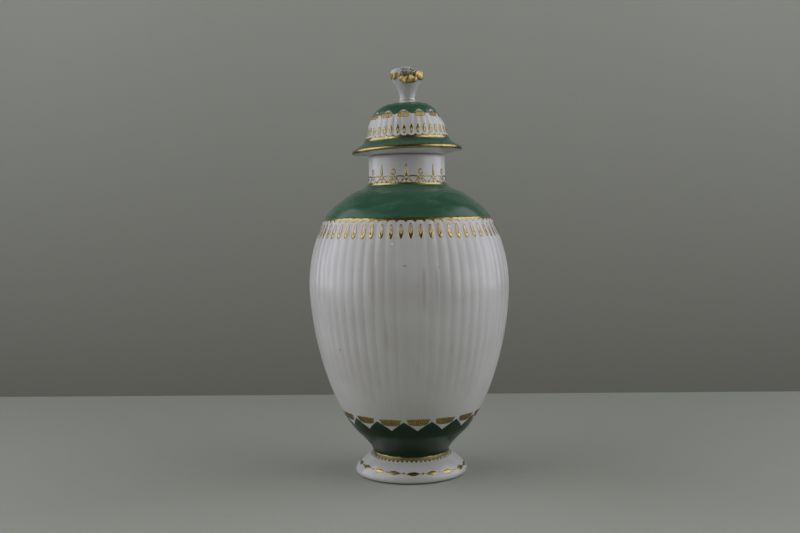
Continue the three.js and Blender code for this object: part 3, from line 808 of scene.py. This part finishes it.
class CANISTER_OT_studio(bpy.types.Operator):
    """Sets up the camera, the table, the wall and the soft lights"""
    bl_idname = "canister.studio"
    bl_label = "Studio"

    def execute(self, context):
        scene, look = context.scene, context.scene.canister_studio
        scene.view_settings.view_transform = "Standard"
        camera = bpy.data.objects.new("camera", bpy.data.cameras.new("camera"))
        scene.collection.objects.link(camera)
        camera.data.lens, camera.data.sensor_width = look.lens, 36
        camera.data.clip_start, camera.data.clip_end = 0.01, 20
        tilt = (Matrix.Rotation(math.radians(90) - look.pitch, 4, "X")
                @ Matrix.Rotation(-look.roll, 4, "Z"))
        camera.matrix_world = Matrix.Translation((-look.aside, -look.distance, look.height)) @ tilt
        scene.camera = camera
        self.build_table(look)
        self.build_wall(look)
        self.build_curtain()
        for name, turn, width, share, tint in LAMPS:
            self.add_lamp(name, math.radians(turn), width, share * look.softbox_power, linear(tint))
        world = bpy.data.worlds.new("grey_room")
        world.use_nodes = True
        tree = world.node_tree
        tree.nodes.clear()
        room = node(tree, "Background", {"Color": linear(ROOM_COLOUR), "Strength": look.room_level})
        node(tree, "OutputWorld", {"Surface": room})
        scene.world = world
        return {"FINISHED"}

    @staticmethod
    def add_lamp(name, turn, width, power, tint):
        """Softbox at this angle round the canister. It reaches from the table to above the knob."""
        height, away, rise, target = 0.93, 0.8, math.radians(24), Vector((0, 0, 0.1))
        lamp = bpy.data.lights.new(name, "AREA")
        lamp.shape, lamp.size, lamp.size_y = "RECTANGLE", width, height
        lamp.energy, lamp.color = power, tint
        box = bpy.data.objects.new(name, lamp)
        bpy.context.scene.collection.objects.link(box)
        way = Vector((math.sin(turn) * math.cos(rise), -math.cos(turn) * math.cos(rise), math.sin(rise)))
        box.location, box.rotation_euler = target + away * way, way.to_track_quat("Z", "Y").to_euler()

    def build_table(self, look):
        """Pale grey table: painted board with faint dust and scuffs, drawn darker towards its back as
        painted shade.
        """
        half, front, back, drop, soft = 1.6, -1.8, 0.173, 0.03, 0.002
        slant = math.tan(math.radians(-2.7))
        section = [(front, -drop), (back, -drop), (back, -soft), (back - soft, 0.0), (front, 0.0)]
        points = [(x, y + (slant * x if y > 0 else 0), z) for x in (-half, half) for y, z in section]
        n = len(section)
        faces = [(i, (i + 1) % n, n + (i + 1) % n, n + i) for i in range(n)]
        faces += [tuple(range(n))[::-1], tuple(range(n, 2 * n))]
        made, tree, where = new_material("painted_table_board")
        cloud = node(tree, "TexNoise", {"Vector": where, "Scale": 1 / (60 * MM), "Detail": 4})
        dusty = node(tree, "MapRange", [cloud, 0.3, 0.7, 0, 0.12], **SOFT)
        colour = node(tree, "Mix", [dusty, look.table, look.table * 0.8], **COLOUR)
        wiped = node(tree, "Mapping", {"Vector": where, "Scale": (1, 3, 1)})
        scuffs = node(tree, "TexNoise", {"Vector": wiped, "Scale": 1 / (12 * MM), "Detail": 5})
        scuffed = node(tree, "MapRange", [scuffs, 0.62, 0.78, 0, 0.2], **SOFT)
        colour = node(tree, "Mix", [scuffed, colour, look.table * 0.6], **COLOUR)
        # Painted shade: the board is drawn darker towards its back
        depth = node(tree, "SeparateXYZ", [where]).outputs[1]
        painted_shade_far = node(tree, "MapRange", [depth, -0.08, back])
        colour = node(tree, "Mix", [painted_shade_far, colour, look.table * 0.7], **COLOUR)
        brushed = node(tree, "TexNoise", {"Vector": where, "Scale": 1 / (1.5 * MM)})
        self.add_stage("table", points, faces, finish_material(made, tree, colour, 0.6, brushed, 0.05))

    def build_wall(self, look):
        """Grey wall: matt rolled paint without gloss, drawn darker towards its foot as painted shade."""
        made, tree, where = new_material("matt_painted_wall")
        # Painted shade: the wall is drawn darker towards its foot
        height = node(tree, "SeparateXYZ", [where]).outputs[2]
        light = node(tree, "MapRange", [height, -0.1, 0.35])
        colour = node(tree, "Mix", [light, look.wall_foot_shade, look.wall], **COLOUR)
        cloud = node(tree, "TexNoise", {"Vector": where, "Scale": 1 / (300 * MM)})
        veil = node(tree, "MapRange", [cloud, 0.3, 0.7, 0, 0.08], **SOFT)
        colour = node(tree, "Mix", [veil, colour, look.wall_foot_shade], **COLOUR)
        self.add_screen("wall", 0.75, 3, -1.2, 2.2, finish_material(made, tree, colour, 0.9, cloud, 0.01))

    def build_curtain(self):
        """Dark cloth curtain behind the camera, which the gold reflects in front. Its soft folds are
        painted as lighter and darker bands, painted shade, over a bump.
        """
        made, tree, where = new_material("dark_cloth_curtain")
        # Folds 52.36 mm apart: a wave of scale 1 repeats every pi / 10 of a metre
        scale = math.pi / 10 / (52.36 * MM)
        folds = node(tree, "TexWave", {"Vector": where, "Scale": scale, "Distortion": 2.0})
        # Painted shade: the folds are lighter and darker bands of colour
        colour = node(tree, "Mix", [folds, linear("#1C1B1A"), linear("#2E2C2A")], **COLOUR)
        self.add_screen("curtain", -1.1, 1.1, -0.03, 0.95,
                        finish_material(made, tree, colour, 0.95, folds, 20))

    def add_screen(self, name, y, half_width, low, high, look):
        """Upright rectangle across the view, in m."""
        corners = ((-1, low), (1, low), (1, high), (-1, high))
        points = [(side * half_width, y, z) for side, z in corners]
        self.add_stage(name, points, [(0, 1, 2, 3)], look)

    @staticmethod
    def add_stage(name, points, faces, look):
        mesh = bpy.data.meshes.new(name)
        mesh.from_pydata(points, [], faces)
        mesh.materials.append(look)
        piece = bpy.data.objects.new(name, mesh)
        bpy.context.scene.collection.objects.link(piece)


class CANISTER_OT_vessel(bpy.types.Operator):
    """Builds the hollow, reeded vessel with its neck"""
    bl_idname = "canister.vessel"
    bl_label = "Vessel"

    def execute(self, context):
        skin = body_skin()
        columns = 10 * skin.reeds.count
        a = angles(columns) + skin.reeds.turn
        s = skin.along
        end = skin.reeds.tip - skin.reeds.end_length
        levels = np.r_[
            s(FOOT_TOP), s(WAIST_Z), np.linspace(s(WAIST_Z), s(BODY_FADE), 42)[1:-1],
            np.linspace(s(BODY_FADE), s(BODY_FULL), 31)[:-1],
            np.linspace(s(BODY_FULL), s(end), 42)[:-1],
            s(end) + (s(BODY_TIP) - s(end)) * np.sin(np.linspace(0, math.pi / 2, 10)),
            np.linspace(s(BODY_TIP), s(SHOULDER[1]), 26)[1:],
            np.linspace(s(SHOULDER[1]), s(NECK_Z), 26)[1:], s(122.5), s(126), skin.way[-1]]
        inside = 160
        lip = RIM_Z - LIP_ROUND
        outer_lip = round_corner((RIM_R, RIM_Z - OUTER_LIP[1]), (RIM_R, RIM_Z),
                                 (RIM_R - OUTER_LIP[0], RIM_Z))
        inner_lip = round_corner((THROAT_R + LIP_ROUND, RIM_Z), (THROAT_R, RIM_Z), (THROAT_R, lip))
        hollow = chain(
            [(THROAT_R, 123.5), (THROAT_R, 117.5)],
            bezier((THROAT_R, HOLLOW_TOP), (34.4, 113.9), (HOLLOW_R, 88.5), (HOLLOW_R, BELLY_Z), 26),
            bezier((HOLLOW_R, BELLY_Z), (HOLLOW_R, 39.5), (19, FLOOR_Z), (7, FLOOR_Z), 30),
            [(3.5, FLOOR_Z)])
        rings = [pole(FOOT_TOP)] + [skin(a, level) for level in levels]
        rings += [ring(r, z, columns) for r, z in outer_lip[1:]]
        rings += [ring(r, z, inside) for r, z in chain(inner_lip, hollow)] + [pole(FLOOR_Z)]
        add_piece("reeded_vessel", *skin_over(rings), ["body"], "canister", ["canister_body"],
                  "painted_body")
        return {"FINISHED"}


class CANISTER_OT_foot(bpy.types.Operator):
    """Builds the spreading foot with its hollow underside"""
    bl_idname = "canister.foot"
    bl_label = "Foot"

    def execute(self, context):
        columns = 180
        under = chain(
            [(7, RECESS_Z), (14, RECESS_Z)],
            bezier((14, RECESS_Z), (15.6, RECESS_Z), (17.1, 3.7), (17.6, 2.4), 6),
            bezier((17.6, 2.4), (17.9, 1.2), (18.1, 0.3), (18.4, 0), 5))
        outline = chain(under, foot_outline(), [(8, FOOT_TOP)])
        rings = [pole(RECESS_Z)] + [ring(r, z, columns) for r, z in outline] + [pole(FOOT_TOP)]
        add_piece("spreading_foot", *skin_over(rings), ["plain"], "canister", ["pedestal_foot"],
                  "gilt_edged_porcelain")
        return {"FINISHED"}


class CANISTER_OT_cover(bpy.types.Operator):
    """Builds the hollow, reeded cover and the flange that holds it in the neck"""
    bl_idname = "canister.cover"
    bl_label = "Cover and flange"

    def execute(self, context):
        skin = cover_skin()
        columns = 12 * skin.reeds.count
        a = angles(columns) + skin.reeds.turn
        s = skin.along
        tip, end = skin.reeds.tip, skin.reeds.tip + skin.reeds.end_length
        full, fade = RIM_Z + COVER_FULL, RIM_Z + COVER_FADE
        edge, top = cover_way(skin, BRIM_TOP), skin.way[-4]
        levels = np.r_[
            np.linspace(0, edge, 8)[:-1], np.linspace(edge, s(tip), 20)[:-1],
            s(end) - (s(end) - s(tip)) * np.sin(np.linspace(math.pi / 2, 0, 10)),
            np.linspace(s(end), s(full), 14)[1:], np.linspace(s(full), s(fade), 7)[1:],
            np.linspace(s(fade), top, 24)[1:], skin.way[-3:]]
        inside = 144
        ceiling = chain([(4, CEILING_H)],
                        bezier((5, CEILING_H), (8, CEILING_H), (12.7, 14.2), (13.2, 9), 14))
        rings = [pole(RIM_Z + CEILING_H)]
        rings += [sunk(ring(r, RIM_Z + h, inside)) for r, h in ceiling]
        rings += [ring(r, RIM_Z + h, inside) for r, h in ((11.1, 2), (FLANGE_IN, 0.9), (FLANGE_IN, 0))]
        rings.append(ring(SEAT_IN, RIM_Z, columns))
        under_r = BRIM_R - 0.4
        under = bezier((SEAT_IN, 0), (17.6, 0.25), (20.5, 1.1), (under_r, BRIM_UNDER), 14)
        for r, h in under[1:-1]:
            rings.append(sunk(ring(r, RIM_Z + h, columns), (r - SEAT_IN) / (under_r - SEAT_IN)))
        rings += [skin(a, level) for level in levels] + [pole(KNOB_SEAT)]
        add_piece("reeded_cover", *skin_over(rings), ["cover"], "lid", ["cover"], "painted_cover")

        low, near, far = RIM_Z - FLANGE_DEPTH, FLANGE_IN, FLANGE_OUT
        flange = chain(
            bezier((near + 0.4, low), (near + 0.1, low + 0.05), (near, low + 0.3), (near, low + 0.7), 5),
            [(near, RIM_Z - 3), (near, RIM_Z), (far, RIM_Z), (far, RIM_Z - 3)],
            bezier((far, low + 0.7), (far, low + 0.2), (far - 0.2, low), (far - 0.5, low), 5))
        points = np.concatenate([ring(r, z, inside) for r, z in flange])
        faces = []
        for k in range(len(flange)):
            here, above = k * inside, (k + 1) % len(flange) * inside
            for i in range(inside):
                after = (i + 1) % inside
                faces.append((here + i, here + after, above + after, above + i))
        add_piece("flange_ring", points, faces, ["plain"], "lid", ["locating_flange"],
                  "plain_porcelain")
        return {"FINISHED"}


def on_knob(points):
    """Moves points of the knob to its place: a little to the right, leaning to the left."""
    points = np.array(points, float)
    points[:, 0] += KNOB_SHIFT - KNOB_LEAN * (points[:, 2] - KNOB_SEAT)
    return points


def petal_sheet(turn, half_width, section, thickness, nu, nv, crinkle):
    """Points and faces of a petal: a bent sheet with round edges that follows section(s), where s runs
    from -1 to 1 across it. Each face has its s, its way v along the petal and its side."""
    sides = []
    u = np.linspace(-1, 1, nu + 1)
    for side in (1, -1):
        rows = []
        for s in u:
            curve = bezier(*section(s), nv)
            along = np.gradient(curve, axis=0)
            along /= np.hypot(*along.T)[:, None]
            v = np.linspace(0, 1, nv + 1)
            edge = np.sqrt(np.clip(1 - s ** 6, 0, 1)) * np.sqrt(np.clip(1 - v ** 10, 0, 1))
            half = side * 0.5 * thickness * (1 - 0.35 * v) * (0.12 + 0.88 * edge)
            wave = crinkle(s, v)
            r = curve[:, 0] - along[:, 1] * (half + wave)
            z = curve[:, 1] + along[:, 0] * (half + wave)
            t = math.radians(turn + half_width * s)
            rows.append(np.stack([r * math.sin(t), -r * math.cos(t), z], 1))
        sides.append(np.stack(rows))
    n, m = nu + 1, nv + 1
    top = np.arange(n * m).reshape(n, m)
    low = top + n * m
    faces, kinds = [], []
    for i in range(nu):
        for j in range(nv):
            faces.append((top[i, j], top[i, j + 1], top[i + 1, j + 1], top[i + 1, j]))
            faces.append((low[i, j], low[i + 1, j], low[i + 1, j + 1], low[i, j + 1]))
            kinds += [(u[i] + 1 / nu, (j + 0.5) / nv, 1), (u[i] + 1 / nu, (j + 0.5) / nv, -1)]
    border = ([(0, j) for j in range(nv)] + [(i, nv) for i in range(nu)]
              + [(nu, j) for j in range(nv, 0, -1)] + [(i, 0) for i in range(nu, 0, -1)])
    for (i, j), (k, l) in zip(border, border[1:] + border[:1]):
        faces.append((top[k, l], top[i, j], low[i, j], low[k, l]))
        kinds.append((u[i], j / nv, 0))
    points = np.concatenate([s.reshape(-1, 3) for s in sides])
    return on_knob(points), [tuple(int(c) for c in f) for f in faces], kinds


class CANISTER_OT_knob(bpy.types.Operator):
    """Builds the flower knob: its trumpet stem, its petals with gilded lips, and its heart"""
    bl_idname = "canister.knob"
    bl_label = "Flower knob"

    def execute(self, context):
        self.stem()
        for index, shape in enumerate(OUTER_PETALS):
            self.outer_petal(index, *shape)
        for index, shape in enumerate(INNER_PETALS):
            self.inner_petal(index, *shape)
        self.heart()
        return {"FINISHED"}

    @staticmethod
    def stem():
        seat, columns = KNOB_SEAT, 72
        foot = bezier((3.45, seat), (3.3, seat + 0.2), (3.25, seat + 0.6), (3.2, seat + 1.1), 5)
        flare = bezier((3.15, seat + 1.7), (3.3, 156.4), (5.1, 157.6), (6.1, BLOOM_Z), 24)
        outline = chain([(1.7, seat)], foot, flare)
        rings = [pole(seat)] + [ring(r, z, columns) for r, z in outline]
        points, faces = skin_over(rings + [ring(3, BLOOM_Z, columns), pole(BLOOM_Z)])
        add_piece("trumpet_stem", on_knob(points), faces, ["plain"], "lid", ["knob_stem"],
                  "plain_porcelain")
        worn = Layer(Skin(chain(foot, flare)), WASH_PROUD)
        s = worn.skin.along
        worn.band(s(seat + 0.75), s(seat + 1.6), columns, 3)
        worn.piece("worn_stem_line", "wash", "lid", moved=on_knob)

    @staticmethod
    def outer_petal(index, turn, reach, crest, tip, gilt_from):
        rng = random.Random(index + 1)
        phase = rng.uniform(0, 6)

        def section(s):
            ruffle = 0.17 * math.sin(6 * s + phase) + 0.09 * math.sin(13 * s + 2 * phase)
            height = crest + 0.9 - 0.5 * s * s + ruffle
            return ((3.9, BLOOM_Z), (4.3, height), (reach - 0.45 * s * s, height),
                    (6.15 - 0.1 * s * s, tip + 0.8 * s * s + 0.6 * ruffle))

        def crinkle(s, v):
            return 0.26 * v ** 2 * np.sin(5 * s + phase + 2 * v) + 0.09 * np.sin(9 * v + 7 * s + phase)

        points, faces, kinds = petal_sheet(turn, 33, section, 0.9, 32, 28, crinkle)
        gilded = []
        for face, (s, v, side) in zip(faces, kinds):
            below = points[list(face), 2].mean() < gilt_from + 0.25 * math.sin(7 * s + phase)
            gilded.append(int(v > 0.93 or (side != -1 and v > 0.4 and below)))
        add_piece(f"gilt_petal_{index + 1}", points, faces, ["petal", "hand_gilt"], "lid",
                  [f"outer_petal_{index + 1}"], "gilded_petals", gilded)

    @staticmethod
    def inner_petal(index, turn, top):
        def section(s):
            return ((2.6, BLOOM_Z), (2.6, (BLOOM_Z + top) / 2), (3, top - 0.4 - 0.6 * s * s),
                    (4, top - 0.6 * s * s))

        def crinkle(s, v):
            return 0.12 * v * np.sin(8 * s + index + 5 * v)

        points, faces, kinds = petal_sheet(turn, 36, section, 0.7, 18, 16, crinkle)
        pale = [int(v > 0.9) for _, v, _ in kinds]
        add_piece(f"upright_petal_{index + 1}", points, faces, ["heart", "petal"], "lid",
                  [f"inner_petal_{index + 1}"], "plain_porcelain", pale)

    @staticmethod
    def heart():
        """Mound set all over with the round heads of stamens."""
        columns, rows, heads = 40, 12, 64
        mound = [pole(BLOOM_Z), ring(1.95, BLOOM_Z, columns), ring(HEART_R, HEART_SIDE, columns)]
        dome = HEART_TOP - 0.3 - HEART_SIDE
        for k in range(1, rows):
            swell = math.pi / 2 * k / rows
            mound.append(ring(HEART_R * math.cos(swell), HEART_SIDE + dome * math.sin(swell), columns))
        shapes = [skin_over(mound + [pole(HEART_TOP - 0.3)])]
        rng = random.Random(9)
        for k in range(heads):
            out = math.sqrt((k + 0.5) / heads)
            turn = math.radians(137.5) * k
            size = rng.uniform(0.3, 0.42)
            height = HEART_SIDE + dome * math.sqrt(1 - 0.75 * out * out) + rng.uniform(-0.2, 0.05)
            reach = HEART_REACH * out
            centre = np.array([reach * math.sin(turn) - 0.3, -reach * math.cos(turn), height])
            rise = np.linspace(-1, 1, 6)[1:-1] * math.pi / 2
            ball = [pole(-size)] + [ring(size * math.cos(b), size * math.sin(b), 9) for b in rise]
            points, faces = skin_over(ball + [pole(size)])
            shapes.append((points + centre, faces))
        points, faces = joined(shapes)
        add_piece("stamen_heart", on_knob(points), faces, ["heart"], "lid", ["flower_heart"],
                  "stippled_heart")


class CANISTER_OT_enamel(bpy.types.Operator):
    """Lays the green enamel grounds on the shoulder, above the foot and on the cover"""
    bl_idname = "canister.enamel"
    bl_label = "Green grounds"

    def execute(self, context):
        skin = body_skin()
        s = skin.along
        shoulder = enamel_layer(skin)
        shoulder.band(s(SHOULDER_GREEN[0]), s(SHOULDER_GREEN[1]), 10 * skin.reeds.count, 44)
        shoulder.piece("green_shoulder_ground", "green", "canister")
        base = enamel_layer(skin)
        foot, notch, peak = BASE_GREEN

        def zigzag(a):
            phase = (((a - SHELL_TURN) * SHELLS / 360) + 0.5) % 1 - 0.5
            return s(notch + (peak - notch) * np.abs(2 * phase) ** 0.92)

        base.band(s(foot), zigzag, 38 * SHELLS, 34)
        base.piece("green_base_ground", "green", "canister")

        cover = cover_skin()
        columns = 12 * cover.reeds.count
        brim = enamel_layer(cover)
        brim.band(cover_way(cover, BRIM_GREEN[0]), cover_way(cover, BRIM_GREEN[1]), columns, 16)
        brim.piece("green_brim_ground", "green", "lid")
        crown = enamel_layer(cover)
        turns = np.array(spaced_round(LOBES_IN_FRONT, BACK_LOBES))
        dip, top = SCALLOPS

        def scallops(a):
            near = (a[:, None] - turns[None, :] + 180) % 360 - 180
            lobe = np.argmin(np.abs(near), axis=1)
            gaps = np.roll(turns, -1) - turns
            gaps[-1] += 360
            before = np.roll(gaps, 1)
            offset = near[np.arange(len(a)), lobe]
            half = np.where(offset > 0, gaps[lobe], before[lobe]) / 2
            x = np.clip(np.abs(offset) / half, 0, 1)
            return cover_way(cover, dip + (top - dip) * (0.5 + 0.5 * np.cos(math.pi * x)))

        crown.band(scallops, cover.way[-3], 2 * columns, 20)
        crown.piece("green_crown_ground", "green", "lid")
        return {"FINISHED"}


class CANISTER_OT_body_gilding(bpy.types.Operator):
    """Gilds the vessel: drops on the reeds, the lines, and the shells above the green"""
    bl_idname = "canister.body_gilding"
    bl_label = "Gilding of the vessel"

    def execute(self, context):
        skin = body_skin()
        self.lines(skin)
        self.drops(skin)
        self.shells(skin)
        return {"FINISHED"}

    @staticmethod
    def lines(skin):
        s, reeds = skin.along, skin.reeds
        line = gold_layer(skin)
        furrow, crest, upper = SHOULDER_LINE

        def dentils(a):
            return s(crest - (crest - furrow) * np.abs(reeds.aside(a)) ** 3)

        def top_edge(a):
            return s(upper + 0.07 * np.sin(np.radians(7 * a)) + 0.05 * np.sin(np.radians(23 * a)))

        line.band(dentils, top_edge, 12 * reeds.count, 4)
        line.piece("gilt_shoulder_line", "gold", "canister")
        neck = gold_layer(skin)
        neck.band(s(NECK_LINE[0]), s(NECK_LINE[1]), RING_COLUMNS, 5)
        neck.piece("gilt_neck_line", "gold", "canister")
        waist = gold_layer(skin)
        waist.band(s(WAIST_RING[0]), s(WAIST_RING[1]), RING_COLUMNS, 4)
        waist.piece("gilt_waist_ring", "gold", "canister")

    @staticmethod
    def drops(skin):
        reeds, rng = skin.reeds, random.Random(11)
        gold, wash = gold_layer(skin), Layer(skin, WASH_PROUD)
        low, high = (skin.along(z) for z in DROP_BAND)
        for anchor in anchors(reeds.count, reeds.turn, low, 0.35, 0.15, rng):
            size = rng.uniform(0.94, 1.04)
            length = (high - low) * size
            outer = oval(DROP_HALF * size, 0, length, 28, 0.1)
            inner = oval(DROP_HOLE_HALF * size, length * 0.33, length - 0.36, 28, -0.1)
            inner[:, 0] += rng.uniform(-0.1, 0.1)
            gold.loop(anchor, outer, inner, 3)
            wash.blob(anchor, (0, length * 0.65), 0.7 * size, length * 0.31)
        gold.piece("gilt_drops", "gold", "canister")
        wash.piece("wash_in_drops", "wash", "canister")

    @staticmethod
    def shells(skin):
        rng = random.Random(23)
        ribs, ground = gold_layer(skin), Layer(skin, SHELL_GROUND_PROUD)
        low, high = (skin.along(z) for z in SHELL_BAND)
        tall = high - low
        for anchor in anchors(SHELLS, SHELL_TURN, low, 0.4, 0.25, rng):
            wide = SHELL_HALF * rng.uniform(0.94, 1.05)
            shell(ribs, ground, anchor, SHELL_RIBS, lambda f: tall * (0.25 * np.abs(f) ** 3 - 0.08),
                  lambda f: tall * (1 - 0.06 * f * f), (0.82 * wide, wide), rng)
        ribs.piece("gilt_shells", "gold", "canister")
        ground.piece("gilt_shell_grounds", "matt_gold", "canister")


class CANISTER_OT_neck_border(bpy.types.Operator):
    """Draws the fine gold border of spires, buds and arches round the neck"""
    bl_idname = "canister.neck_border"
    bl_label = "Border of the neck"

    def execute(self, context):
        skin = body_skin()
        gold, wash = gold_layer(skin), Layer(skin, WASH_PROUD)
        base = skin.along(NECK_LINE[1])
        spires = spaced_round(SPIRES_IN_FRONT, BACK_SPIRES)
        for here, there in zip(spires, spires[1:] + [spires[0] + 360]):
            between = math.radians(there - here) * NECK_R
            self.spire(gold, (here, base))
            self.bud(gold, wash, ((here + there) / 2, base))
            for at, side in (((here, base), 1), ((there, base), -1)):
                x = np.linspace(0.6, between / 2 - 0.7, 9)
                arch = 2.35 + 0.25 * np.sin(np.linspace(0, math.pi, 9))
                gold.stroke(at, np.stack([x * side, arch], 1), 0.48)
        gold.piece("gilt_neck_border", "gold", "canister")
        wash.piece("wash_in_buds", "wash", "canister")
        return {"FINISHED"}

    @staticmethod
    def spire(gold, at):
        """A thin leaf over a ring, between two struts."""
        leaf = [(2.9, 0.5), (3.6, 1.0), (4.4, 0.85), (5.6, 0.6), (7.3, 0.14)]   # height, breadth
        gold.stroke(at, [(0, height) for height, _ in leaf], [breadth for _, breadth in leaf])
        gold.loop(at, oval(0.85, 1.15, 3.05, 18), oval(0.4, 1.65, 2.6, 18))
        gold.stroke(at, [(0, 0), (0, 0.6), (0, 1.2)], [0.8, 0.5, 0.45])
        for side in (-1, 1):
            gold.stroke(at, [(2.8 * side, 0), (1.8 * side, 0.9), (0.7 * side, 1.8)], [0.5, 0.45, 0.4])

    @staticmethod
    def bud(gold, wash, at):
        """A round bud over a ring, with a scroll at each side."""
        gold.loop(at, oval(1.05, 3.05, 5.5, 20), oval(0.72, 3.5, 5.05, 20))
        wash.blob(at, (0, 4.27), 0.8, 0.9, 14)
        gold.loop(at, oval(0.8, 1.1, 2.8, 18), oval(0.4, 1.5, 2.4, 18))
        for side in (-1, 1):
            t = np.linspace(0, 1, 8)
            gold.stroke(at, np.stack([side * (0.7 + 1.7 * t ** 1.3), 2.3 * (1 - t ** 1.6)], 1), 0.45)
            gold.stroke(at, [(0.4 * side, 1.3), (0.8 * side, 0.7), (1.1 * side, 0)], 0.38)


class CANISTER_OT_foot_gilding(bpy.types.Operator):
    """Gilds the foot: lozenges and dots round its slope, and beads under the waist ring"""
    bl_idname = "canister.foot_gilding"
    bl_label = "Gilding of the foot"

    def execute(self, context):
        skin = Skin(foot_outline())
        s = skin.along
        gold = gold_layer(skin)
        rng = random.Random(31)
        turns = spaced_round(LOZENGES_IN_FRONT, BACK_LOZENGES)
        ends = [LOZENGE_HALF * rng.uniform(0.88, 1.06) for _ in turns]
        t = np.linspace(-1, 1, 17)
        breadth = np.maximum(LOZENGE_TALL * (1 - t * t) ** 1.5, 0.2)
        for k, here in enumerate(turns):
            after = (k + 1) % len(turns)
            gap = math.radians((turns[after] - here) % 360) * skin.radius(s(LOZENGE_Z))
            height = LOZENGE_Z - LOZENGE_SLOPE * math.sin(math.radians(here))
            at = (here, s(height) + rng.uniform(-0.12, 0.12))
            gold.stroke(at, np.stack([ends[k] * t, 0 * t], 1), breadth, 4)
            gold.blob(at, (gap / 2, 0), 0.45, 0.42)
            gold.stroke(at, [(ends[k], 0), (gap / 2 - 0.4, 0)], 0.2)
            gold.stroke(at, [(gap / 2 + 0.4, 0), (gap - ends[after], 0)], 0.2)
        gold.piece("gilt_foot_lozenges", "gold", "canister")
        beads = gold_layer(skin)
        for k in range(BEADS):
            half_width = BEAD_HALF_WIDTH + rng.uniform(-0.08, 0.08)
            beads.blob((360 * k / BEADS, s(BEADS_Z)), (0, 0), half_width, BEAD_HALF_HEIGHT, 8, 2)
        beads.piece("gilt_beads", "gold", "canister")
        return {"FINISHED"}


class CANISTER_OT_cover_gilding(bpy.types.Operator):
    """Gilds the cover: its edge, the line and ovals on the reeds, and the shells under the green"""
    bl_idname = "canister.cover_gilding"
    bl_label = "Gilding of the cover"

    def execute(self, context):
        skin = cover_skin()
        self.lines(skin)
        self.ovals(skin)
        self.shells(skin)
        return {"FINISHED"}

    @staticmethod
    def lines(skin):
        columns = 12 * skin.reeds.count
        edge = gold_layer(skin)
        edge.band(cover_way(skin, BRIM_LINE[0]), cover_way(skin, BRIM_LINE[1]), columns, 6)
        edge.piece("gilt_brim_edge", "gold", "lid")
        line = gold_layer(skin)

        def spandrels(a):
            return cover_way(skin, SKIRT_LINE[1] + 0.8 * np.abs(skin.reeds.aside(a)) ** 3)

        line.band(cover_way(skin, SKIRT_LINE[0]), spandrels, columns, 5)
        line.piece("gilt_skirt_line", "gold", "lid")

    @staticmethod
    def ovals(skin):
        low, high = (cover_way(skin, h) for h in OVAL_BAND)
        reeds, rng = skin.reeds, random.Random(41)
        gold = gold_layer(skin)
        for anchor in anchors(reeds.count, reeds.turn, low, 0.5, 0.1, rng):
            size = rng.uniform(0.94, 1.05)
            length = (high - low) * size
            outer = oval(OVAL_HALF * size, 0, length, 24, 0.04)
            inner = oval(OVAL_HOLE_HALF * size, length * 0.16, length * 0.6, 24, 0.1)
            gold.loop(anchor, outer, inner, 3)
        gold.piece("gilt_ovals", "gold", "lid")

    @staticmethod
    def shells(skin):
        low, high = (cover_way(skin, h) for h in COVER_SHELL_BAND)
        tall, rng = high - low, random.Random(43)
        ribs, ground = gold_layer(skin), Layer(skin, SHELL_GROUND_PROUD)
        turns = spaced_round(LOBES_IN_FRONT, BACK_LOBES)
        for k, turn in enumerate(turns):
            after = turns[(k + 1) % len(turns)] + (360 if k + 1 == len(turns) else 0) - turn
            before = turn - turns[k - 1] + (360 if k == 0 else 0)
            wide = math.radians(0.5 * min(after, before)) * skin.radius(low) * 0.82
            shell(ribs, ground, (turn, low), COVER_SHELL_RIBS, lambda f: 0.12 * tall * f * f,
                  lambda f: tall * np.sqrt(1 - 0.72 * f * f), (0.9 * wide, wide), rng)
        ribs.piece("gilt_cover_shells", "gold", "lid")
        ground.piece("gilt_cover_shell_grounds", "hand_gilt", "lid")


OPERATORS = (
    CANISTER_OT_studio, CANISTER_OT_vessel, CANISTER_OT_foot, CANISTER_OT_cover, CANISTER_OT_knob,
    CANISTER_OT_enamel, CANISTER_OT_body_gilding, CANISTER_OT_neck_border,
    CANISTER_OT_foot_gilding, CANISTER_OT_cover_gilding,
)
GROUPS = {
    "canister_sizes": CANISTER_PG_sizes,
    "canister_colours": CANISTER_PG_colours,
    "canister_studio": CANISTER_PG_studio,
}


class CANISTER_PT_panel(bpy.types.Panel):
    """Lists the sizes, the colours and the steps of the build"""
    bl_idname = "CANISTER_PT_panel"
    bl_label = "Tea canister"
    bl_space_type = "VIEW_3D"
    bl_region_type = "UI"
    bl_category = "Canister"

    def draw(self, context):
        for group in GROUPS:
            box = self.layout.box()
            values = getattr(context.scene, group)
            for key in values.__annotations__:
                box.prop(values, key)
        for operator in OPERATORS:
            self.layout.operator(operator.bl_idname)


def register():
    for item in (*GROUPS.values(), *OPERATORS, CANISTER_PT_panel):
        bpy.utils.register_class(item)
    for name, group in GROUPS.items():
        setattr(bpy.types.Scene, name, bpy.props.PointerProperty(type=group))


def unregister():
    for name in GROUPS:
        delattr(bpy.types.Scene, name)
    for item in (CANISTER_PT_panel, *reversed(OPERATORS), *reversed(GROUPS.values())):
        bpy.utils.unregister_class(item)


def main():
    register()
    for operator in OPERATORS:
        group, name = operator.bl_idname.split(".")
        getattr(getattr(bpy.ops, group), name)()


if __name__ == "__main__":
    main()
